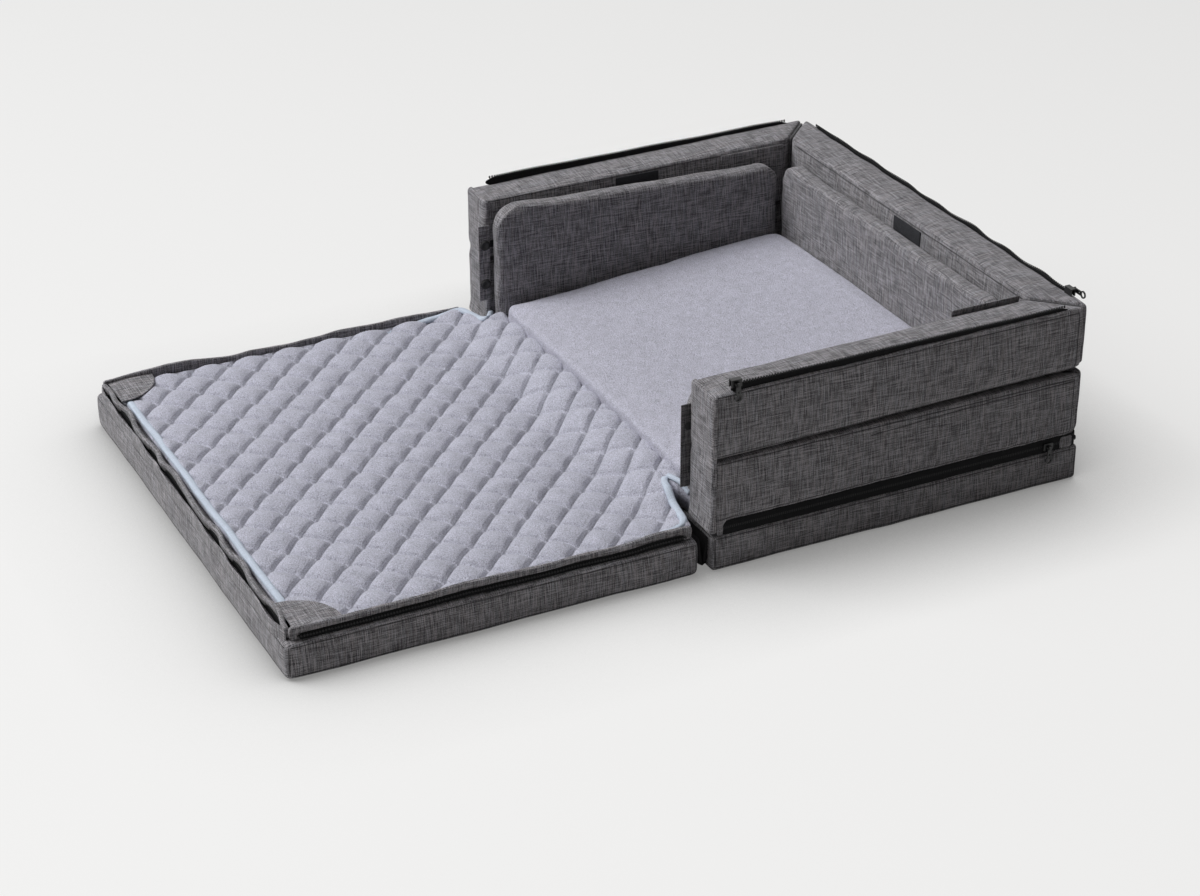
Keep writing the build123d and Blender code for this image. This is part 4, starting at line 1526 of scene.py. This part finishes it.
def makeSideLips():
    low, high = nodeBox("side_lips")
    bm = bmesh.new()
    for sign in (-1, 1):
        x = (high.x - lip["thick"] / 2) * sign
        count = lip["rows"]
        stops = []
        for n in range(count + 1):
            y = low.y + (high.y - low.y) * n / count
            sideways, rise, tilt = lipWave(sign, y)
            up = Vector((sign * (tilt - lip["inward"]), 0, 1)).normalized()
            stops.append((Vector((x + sign * sideways, y, low.z + rise)), Vector((sign, 0, 0)), up))
        sweep(bm, lipOutline(), stops)
    thing = makeCloth(bm, "sideLips", "linen", "front_panel", "grey_linen_cloth", "side_lips")


def makeEndLips():
    low, high = nodeBox("end_lips")
    bm = bmesh.new()
    reach = high.x
    for row in endLips:
        count = lip["endRows"]
        stops = []
        for n in range(count + 1):
            x = -reach + 2 * reach * n / count
            fade = min(1.0, (x + reach) / endWave["fade"], (reach - x) / endWave["fade"])
            drift = waviness((x, 0, 0), 110.0, 20) * endWave["drift"]
            wave = math.sin(x / endWave["length"] * 2 * math.pi + row["shift"] + drift)
            wave = math.copysign(abs(wave) ** endWave["blunt"], wave)
            wave *= endWave["even"] + endWave["uneven"] * waviness((x, 40, 0), 80.0, 25)
            swing = wave * row["swing"] + waviness((x, row["shift"] * 9, 0), 32.0, 21) * endWave["ripple"]
            y = low.y + row["place"] + swing * fade + row["gather"] * (1 - fade)
            z = low.z + waviness((x, row["shift"] * 20, 0), 50.0, 22) * lip["ripple"] * fade
            up = Vector((0, row["lean"] * wave * fade + row["roll"], 1)).normalized()
            stops.append((Vector((x, y, z)), Vector((0, 1, 0)), up))
        h, t = row["tall"], row["thick"]
        foot = -row["foot"]
        outline = [(-t * 0.7, foot), (t * 0.7, foot), (t * 0.8, h * 0.4), (t * 1.1, h * 0.7)]
        outline += [(t * 0.9, h * 0.92), (0, h), (-t * 0.9, h * 0.92), (-t * 1.1, h * 0.7)]
        sweep(bm, outline, stops)
    thing = makeCloth(bm, "endLips", "linen", "front_panel", "grey_linen_cloth", "end_lips")


panelZip = {
    "thick": 1.4,
    "tall": 7.4,
    "endThick": 1.2,
    "endTall": 7.0,
    "inset": 9.0,
    "tooth": (1.9, 2.0, 2.1),
    "teethUp": 4.6,
    "endTeethUp": 6.2,
}


def makePanelZips():
    low = nodeBox("panel_zip_tapes")[0]
    lipsLow, lipsHigh = nodeBox("side_lips")
    start, end = lipsLow.y + panelZip["inset"], lipsHigh.y - panelZip["inset"]
    bm = bmesh.new()
    teethRuns = []
    for sign in (-1, 1):
        count = round((end - start) / tooth["pitch"])
        band, forTeeth = [], []
        for n in range(count + 1):
            y = start + (end - start) * n / count
            sideways, rise = lipWave(sign, y)[:2]
            foot = Vector((sign * (lipsHigh.x + 0.4 + sideways * 0.5), y, low.z - 0.8 + rise * 0.55))
            out, up = Vector((sign, 0, 0)), Vector((0, 0, 1))
            if n % 4 == 0 or n == count:
                band.append((foot, out, up))
            forTeeth.append((foot + out * 0.2 + up * panelZip["teethUp"], up, out))
        sweep(bm, boxOutline(panelZip["thick"], panelZip["tall"], 0.4), band)
        teethRuns.append(forTeeth)
    ends = nodeBox("end_lips")
    middle = (ends[0].y + ends[1].y) / 2 + 0.4
    reach = ends[1].x - panelZip["inset"]
    path = [(-reach, middle, low.z - 0.5), (reach, middle, low.z - 0.5)]
    sweep(bm, boxOutline(panelZip["endThick"], panelZip["endTall"], 0.4), alongPath(path, 12.0))
    count = round(reach * 2 / tooth["pitch"])
    rise = low.z + panelZip["endTeethUp"]
    spots = [Vector((-reach + 2 * reach * n / count, middle, rise)) for n in range(count + 1)]
    teethRuns.append([(spot, Vector((0, 1, 0)), Vector((0, 0, 1))) for spot in spots])
    makeCloth(bm, "panelZipTapes", "zipTape", "front_panel", "black_zip_tape", "panel_zip_tapes")
    teethPiece("panelTeeth", "front_panel", teethRuns, panelZip["tooth"], ["panel_zip_teeth"])


# pockets, patches, flaps, welts and cloths over the folds
def clothPatch(bm, width, height, thickness, place, across, up, bulge=0.0, cells=10, edge=1.2):
    # a sewn patch: a thin block with rounded rim, laid on the plane of across and up
    size = Vector((width, height, thickness))
    part = gridBlock(size, min(edge, thickness * 0.49), max(width, height) / cells)
    out = across.cross(up)
    for vert in part.verts:
        a, b, c = vert.co
        lift = bulge * math.sin(math.pi * a / width) * math.sin(math.pi * b / height)
        vert.co = place + across * (a - width / 2) + up * (b - height / 2) + out * (c + lift)
    addInto(bm, part)


def makePockets():
    # quarter rounds of cloth over the front panel's front corners
    low, high = nodeBox("corner_pockets")
    radius, reach = pocket["radius"], pocket["radius"] * pocket["stretch"]
    bm = bmesh.new()
    for sign in (-1, 1):
        part = gridBlock(Vector((radius, radius, pocket["thick"])), 0.75, 3.5)
        for vert in part.verts:
            a, b, c = vert.co.x / radius, vert.co.y / radius, vert.co.z
            ra = a * math.sqrt(1 - b * b / 2)
            rb = b * math.sqrt(1 - a * a / 2)
            away = math.hypot(ra, rb)
            rise = pocket["crown"] * math.sin(math.pi * min(1.0, away))
            rise += waviness((a * radius, b * radius, sign), 14.0, 24) * pocket["ripple"]
            rise += pocket["hem"] if away > pocket["hemFrom"] else 0.0
            vert.co = Vector((sign * (high.x - ra * reach), low.y + rb * reach, low.z + c + rise))
        addInto(bm, part)
    thing = makeCloth(bm, "cornerPockets", "bias", "front_panel", "grey_linen_cloth", "corner_pockets")


hook = {"wide": 56.0, "thick": 1.2, "fromFront": 28.0, "backShift": 15.0}


def makeHookPatches():
    up = Vector((0, 0, 1))
    low, high = nodeBox("hook_patches")
    bm = bmesh.new()
    height, middle = high.z - low.z, (low.z + high.z) / 2
    size = (hook["wide"], height, hook["thick"])
    for sign in (-1, 1):
        place = Vector((sign * high.x, low.y + hook["fromFront"], middle))
        clothPatch(bm, *size, place, Vector((0, -sign, 0)), up)
    clothPatch(bm, *size, Vector((hook["backShift"], high.y, middle)), Vector((1, 0, 0)), up)
    thing = makeObject(bm, "hookPatches", "hookCloth")
    settle(thing, "upper_wall", "hook_patch", "hook_patches")


flap = {
    "thick": 1.8,
    "farStand": 3.0,
    "nearStand": 13.0,
    "bulge": 0.8,
    "leanFrom": 3,
    "lean": 0.25,
    "unevenLean": 0.2,
    "slant": 0.12,
}


def makeFlaps():
    low, high = nodeBox("corner_flaps")
    up = Vector((0, 0, 1))
    bm = bmesh.new()
    length, height = high.y - low.y, high.z - low.z
    for sign, stand in ((-1, flap["farStand"]), (1, flap["nearStand"])):
        place = Vector((sign * (high.x - 0.2), (low.y + high.y) / 2, (low.z + high.z + stand) / 2))
        size = (length, height + stand, flap["thick"])
        clothPatch(bm, *size, place, Vector((0, -sign, 0)), up, bulge=flap["bulge"], cells=16)
    for vert in bm.verts:
        if vert.co.x > 0:  # the near flap's free edge leans out over the arm
            rise = max(0.0, vert.co.z - high.z - flap["leanFrom"])
            wave = waviness((0, vert.co.y, 9), 30.0, 35)
            out = rise * (flap["lean"] + flap["unevenLean"] * wave)
            vert.co += Vector((out, 0, rise * flap["slant"] * wave))
    thing = makeObject(bm, "cornerFlaps", "linen")
    settle(thing, "upper_wall", "grey_linen_cloth", "corner_flaps")


def makeWelts():
    # cloth edges that stand out at the back corners
    outline = [(-1.1, -3.4), (1.1, -3.4), (1.2, -1.0), (0.9, 0.4), (0, 1.0), (-0.9, 0.4), (-1.2, -1.0)]
    for layer, body in (("lower", "base"), ("upper", "upper_wall")):
        low, high = nodeBox(layer + "_corner_welts")
        middle = (low.z + high.z) / 2
        side = ((3.0, low.z), (1.2, low.z + 6), (0.8, middle), (1.4, high.z - 5), (3.0, high.z))
        bm = bmesh.new()
        for sign in (-1, 1):
            path = [(sign * (high.x - 1.1), high.y - inset, z) for inset, z in side]
            sweep(bm, outline, alongPath(roundedPath(path, 20.0), 4.0, up=Vector((0, 1, 0))))
        makeCloth(bm, layer + "CornerWelts", "linen", body, "grey_linen_cloth", layer + "_corner_welts")


mitreCloth = {"long": 52.0, "thick": 3.4}


def makeMitres():
    # the cloth between two walls where they meet at a back corner, in darker linen: painted shade in the
    # fold there
    for layer, body in (("Lower", "base"), ("Upper", "upper_wall")):
        sideLow, sideHigh = nodeBox("near_" + layer.lower() + "_wall_cover")
        backHigh = nodeBox("back_" + layer.lower() + "_wall_cover")[1]
        outer = Vector(((sideHigh.x + backHigh.x) / 2, (sideHigh.y + backHigh.y) / 2, 0))
        inner = outer - Vector((wall["thickness"], wall["thickness"], 0))
        heading = (outer - inner).normalized()
        low, high = sideLow.z, sideHigh.z
        up = Vector((0, 0, 1))
        bm = bmesh.new()
        for sign in (-1, 1):
            along = Vector((heading.x * sign, heading.y, 0))
            out = up.cross(along)
            middle = Vector(((outer.x + inner.x) / 2 * sign, (outer.y + inner.y) / 2, (low + high) / 2))
            middle += out * (mitreCloth["thick"] / 2)
            clothPatch(bm, mitreCloth["long"], high - low, mitreCloth["thick"], middle, along, up, cells=8)
        thing = makeObject(bm, "mitreCloth" + layer, "paintedShadeLinen")
        settle(thing, body, "grey_linen_cloth")


armFront = {
    "low": 44.0,
    "proud": 1.0,
    "radius": 5.5,
    "cell": 4.0,
    "wrap": 5.0,
    "thick": 0.8,
    "joint": 128.0,
    "crease": 5.0,
    "creaseDeep": 1.5,
    "wrinkle": 0.9,
    "wrinkleReach": 24.0,
    "ripple": 0.4,
    "squeeze": 0.9,
    "tuck": 3.2,
    "bend": 6.0,
}


def makeArmFronts():
    # the cloth over each arm's front end, which is the hinge between the two layers
    joint, proud = armFront["joint"], armFront["proud"]
    low, high = nodeBox("near_upper_wall_cover")
    corner = Vector((low.x - proud, low.y - proud - 0.6, armFront["low"]))
    size = Vector((high.x - low.x + proud * 2, 30.0, high.z + 0.2 - corner.z))
    for sign, name in ((1, "near"), (-1, "far")):
        bm = gridBlock(size, armFront["radius"], armFront["cell"])
        middles = [(face, face.calc_center_median()) for face in bm.faces]
        spare = [face for face, spot in middles if spot.y > armFront["wrap"] or spot.z < 0.5]
        bmesh.ops.delete(bm, geom=spare, context="FACES")
        middle = size.x / 2
        for vert in bm.verts:
            x, y, z = vert.co
            level = z + corner.z - joint
            crease = math.exp(-((level / armFront["crease"]) ** 2))
            push = crease * armFront["creaseDeep"]
            fade = math.exp(-((level / armFront["wrinkleReach"]) ** 2))
            push += waviness((x, sign * 40, z * 2.0), 24.0, 30) * fade * armFront["wrinkle"]
            push += waviness((x, sign * 90, z), 17.0, 27) * armFront["ripple"]
            # the lowest part runs forward into the front panel's lip
            push -= armFront["tuck"] * (1 - easeIn(z, 0.0, 16.0))
            x += (middle - x) / middle * crease * armFront["squeeze"]
            y += max(0.0, 1 - y / armFront["wrap"]) * push
            vert.co = Vector((x, y, z)) + corner
            if vert.co.z > joint:
                vert.co.z += wallTip(vert.co.y) * (vert.co.z - joint) / (high.z - joint)
        bmesh.ops.solidify(bm, geom=bm.faces, thickness=armFront["thick"])
        if sign < 0:
            bmesh.ops.scale(bm, vec=(-1, 1, 1), verts=bm.verts)
        thing = makeObject(bm, name + "ArmFrontCloth", "linen")
        divideNow(thing)
        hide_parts("wall_hinge_cloths")
        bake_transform(thing)


def divideNow(thing):
    divide(thing)
    graph = bpy.context.evaluated_depsgraph_get()
    mesh = bpy.data.meshes.new_from_object(thing.evaluated_get(graph))
    old = thing.data
    thing.modifiers.clear()
    thing.data = mesh
    bpy.data.meshes.remove(old)


# how far the lining's two faces stand from the middle of the gap, and how much of it is folded
spine = {"outer": 5.6, "inner": 4.2, "middle": 0.25, "folded": 5.0}


def makeSpine():
    # dark lining down both walls of the gap between the halves
    low, high = nodeBox("spine_cloth")
    top, foot = high.z + 1, low.z
    outside, inside, middle = spine["outer"], spine["inner"], spine["middle"]
    outer = [(outside, top), (outside, foot + 8), (outside - 1, foot + 3), (middle, foot)]
    inner = [(middle, foot + 1.1), (inside - 0.5, foot + 4), (inside, foot + 9), (inside, top)]
    for sign, body, name in ((1, "base", "spineRear"), (-1, "front_panel", "spineFront")):
        bm = bmesh.new()
        outline = [(y * sign, z) for y, z in outer + inner]
        stops = alongPath([(low.x, 0, 0), (high.x, 0, 0)], 18.0)
        stops = [(place, Vector((0, 1, 0)), up) for place, _, up in stops]
        sweep(bm, outline, stops)
        thing = makeObject(bm, name, "liningCloth")
        settle(thing, body, "dark_lining_cloth", "spine_cloth")


# snap tabs
snap = {"radius": 6.2, "dome": 1.9, "dish": 3.4, "trim": 1.8}


def capProfile():
    r, d = snap["radius"], snap["dome"]
    dish = [(0, d * 0.62), (snap["dish"] * 0.8, d * 0.62), (snap["dish"], d * 0.85)]
    return [*dish, (r * 0.72, d), (r * 0.93, d * 0.75), (r, d * 0.3), (r * 0.98, -0.4), (0, -0.4)]


def spunCap(bm, centre, out):
    seed = bmesh.new()
    verts = [seed.verts.new((radius, 0, rise)) for radius, rise in capProfile()]
    edges = [seed.edges.new(pair) for pair in zip(verts, verts[1:])]
    turning = {"axis": (0, 0, 1), "cent": (0, 0, 0), "angle": math.tau, "steps": 28}
    bmesh.ops.spin(seed, geom=verts + edges, use_merge=True, **turning)
    bmesh.ops.remove_doubles(seed, verts=seed.verts, dist=0.01)
    bmesh.ops.recalc_face_normals(seed, faces=seed.faces)
    turn = out.to_track_quat("Z", "Y").to_matrix().to_4x4()
    bmesh.ops.transform(seed, matrix=Matrix.Translation(centre) @ turn, verts=seed.verts)
    addInto(bm, seed)


# the small cloth tongue under each tab, sewn to the wall
tongue = {"x": 251.0, "y": 7.0, "rise": 8.0, "wide": 16.0, "tall": 15.0, "thick": 1.2}


def tabPatch(bm, sign, bottom, top):
    # one half of a snap tab, between two heights
    low, high = nodeBox("near_snap_tab")
    width = high.y - low.y - snap["trim"]
    place = Vector((sign * high.x, high.y - width / 2, (bottom + top) / 2))
    size = (width, top - bottom, high.x - low.x)
    clothPatch(bm, *size, place, Vector((0, -sign, 0)), Vector((0, 0, 1)), cells=14, edge=0.6)
    return width


def tabCap(bm, sign, node):
    tab, cap = nodeBox("near_snap_tab"), nodeBox("near_snap_cap")
    low, high = nodeBox(node)
    centre = Vector((sign * tab[0].x, (cap[0].y + cap[1].y) / 2, (low.z + high.z) / 2))
    spunCap(bm, centre, Vector((-sign, 0, 0)))


def makeTabAnchors():
    # the tabs' sewn lower halves, with their caps
    low, high = nodeBox("snap_tab_anchors")
    size = (tongue["wide"], tongue["tall"], tongue["thick"])
    bm = bmesh.new()
    for sign in (-1, 1):
        width = tabPatch(bm, sign, low.z, high.z)
        place = Vector((sign * tongue["x"], tongue["y"], low.z + tongue["rise"]))
        clothPatch(bm, *size, place, Vector((0, -sign, 0)), Vector((0, 0, 1)), cells=5, edge=0.5)
    # the near tab half and tongue get darker linen, painted shade on the inside of the near arm; the far
    # ones keep plain linen
    thing = makeObject(bm, "snapTabAnchors", "tabLinen")
    thing.data.materials.append(cloths["linen"])
    for face in thing.data.polygons:
        face.material_index = 0 if face.center.x > 0 else 1
    settle(thing, "base", "grey_linen_cloth", "snap_tab_anchors")
    bm = bmesh.new()
    for sign in (-1, 1):
        tabCap(bm, sign, "lower_snap_caps")
    thing = makeObject(bm, "lowerSnapCaps", "snapPlastic")
    settle(thing, "base", "snap_plastic", "lower_snap_caps")


def makeSnapTabs():
    low, high = nodeBox("near_snap_tab")
    for sign, name in ((1, "near"), (-1, "far")):
        bm = bmesh.new()
        width = tabPatch(bm, sign, low.z, high.z)
        # the near tab is darker linen, painted shade; the far tab keeps plain linen
        thing = makeObject(bm, name + "SnapTab", "tabLinen" if name == "near" else "linen")
        settle(thing, name + "_snap_tab", "grey_linen_cloth", name + "_snap_tab")
        bm = bmesh.new()
        tabCap(bm, sign, "near_snap_cap")
        thing = makeObject(bm, name + "SnapCap", "snapPlastic")
        settle(thing, name + "_snap_tab", "snap_plastic", name + "_snap_cap")


# sewn seams on the covers, as darker linen cords: painted shade along each seam line
ridge = {"radius": 0.8, "step": 7.0, "sunk": 0.3, "inset": 4.2, "ends": 6.0, "hem": 9.0}


def seamPiece(name, paths):
    graph = bpy.context.evaluated_depsgraph_get()
    tree = BVHTree.FromObject(blocks[name], graph)
    bm = bmesh.new()
    for path in paths:
        stops = []
        for place, *_ in alongPath(path, ridge["step"]):
            spot, normal, *_ = tree.find_nearest(place * mm)
            stops.append((spot / mm - normal * ridge["sunk"], normal))
        full = []
        for n, (spot, normal) in enumerate(stops):
            before, after = stops[max(n - 1, 0)][0], stops[min(n + 1, len(stops) - 1)][0]
            heading = (after - before).normalized()
            full.append((spot, heading.cross(normal).normalized(), normal))
        sweep(bm, tubeOutline(ridge["radius"], 6), full)
    # darker linen: painted shade along the seam
    thing = makeObject(bm, name + "Seams", "paintedShadeLinen")
    settle(thing, blockSet[name]["body"], "grey_linen_cloth")


def seamFoot(name, low):
    # a lower wall's bottom seam runs above the base zip
    return low.z + (wall["zipBand"] + 4 if "Lower" in name else 4)


def armSeams(name):
    low, high = nodeBox(blockSet[name]["nodes"][0])
    near = name.startswith("near")
    outer = high.x if near else low.x
    inner = outer - wall["thickness"] * (1 if near else -1)
    foot, top = seamFoot(name, low), high.z - ridge["inset"]
    front, back = low.y + ridge["inset"], high.y - ridge["ends"]
    paths = [
        [(outer, front, foot), (outer, front, top)],
        [(outer, front, top), (outer, back, top)],
        [(outer, front, foot), (outer, back, foot)],
        [(outer, back, foot), (outer, back, top)],
        [(inner, front, foot), (inner, front, top)],
        [(inner, front, top), (inner, back - wall["thickness"], top)],
    ]
    if "Lower" in name:
        hem = high.z - ridge["hem"]
        paths.append([(outer, 190.0, hem - 3), (outer, 300.0, hem + 1), (outer, back, hem + 2)])
    seamPiece(name, paths)


def backSeams(name):
    low, high = nodeBox(blockSet[name]["nodes"][0])
    foot, top = seamFoot(name, low), high.z - ridge["inset"]
    outer, inner = high.x - ridge["ends"], high.x - 52
    paths = [[(-outer, high.y, z), (outer, high.y, z)] for z in (foot, top)]
    paths.append([(-inner, low.y, top), (inner, low.y, top)])
    paths += [[(x, high.y, foot), (x, high.y, top)] for x in (-outer, outer)]
    seamPiece(name, paths)


def blockSeams(name):
    low, high = nodeBox(blockSet[name]["nodes"][0])
    inset, ends = ridge["inset"], ridge["ends"]
    foot, top = low.z + inset, high.z - inset
    y = high.y if name == "baseBlock" else low.y
    paths = []
    for z in (foot, top):
        paths += [[(x, low.y + ends, z), (x, high.y - ends, z)] for x in (high.x, low.x)]
        paths.append([(low.x + ends, y, z), (high.x - ends, y, z)])
    for x in (low.x, high.x):
        paths += [[(x, y, foot), (x, y, top)] for y in (low.y + inset, high.y - inset)]
    seamPiece(name, paths)


def makeSeams():
    for name in ("nearLowerWall", "nearUpperWall", "farLowerWall", "farUpperWall"):
        armSeams(name)
    for name in ("backLowerWall", "backUpperWall"):
        backSeams(name)
    for name in ("baseBlock", "frontBlock"):
        blockSeams(name)
    print("seams made")


def paintFrame():
    # the hard pieces that keep their CAD shape
    looks = {"slider": "sliderEnamel", "pull": "sliderEnamel", "studs": "snapPlastic"}
    for name, node in cadNodes.items():
        for word, look in looks.items():
            if name.endswith(word):
                node.data.materials.clear()
                node.data.materials.append(cloths[look])


makeBlocks()
makePads()
makeQuilt()
makeBinding()
makeRimZips()
makeBaseZip()
makeSideLips()
makeEndLips()
makePanelZips()
print("zips and lips made")
makePockets()
makeHookPatches()
makeFlaps()
makeWelts()
makeMitres()
makeArmFronts()
makeSpine()
makeTabAnchors()
makeSnapTabs()
print("patches, flaps and tabs made")
makeSeams()
paintFrame()

scene.view_settings.view_transform = "Standard"
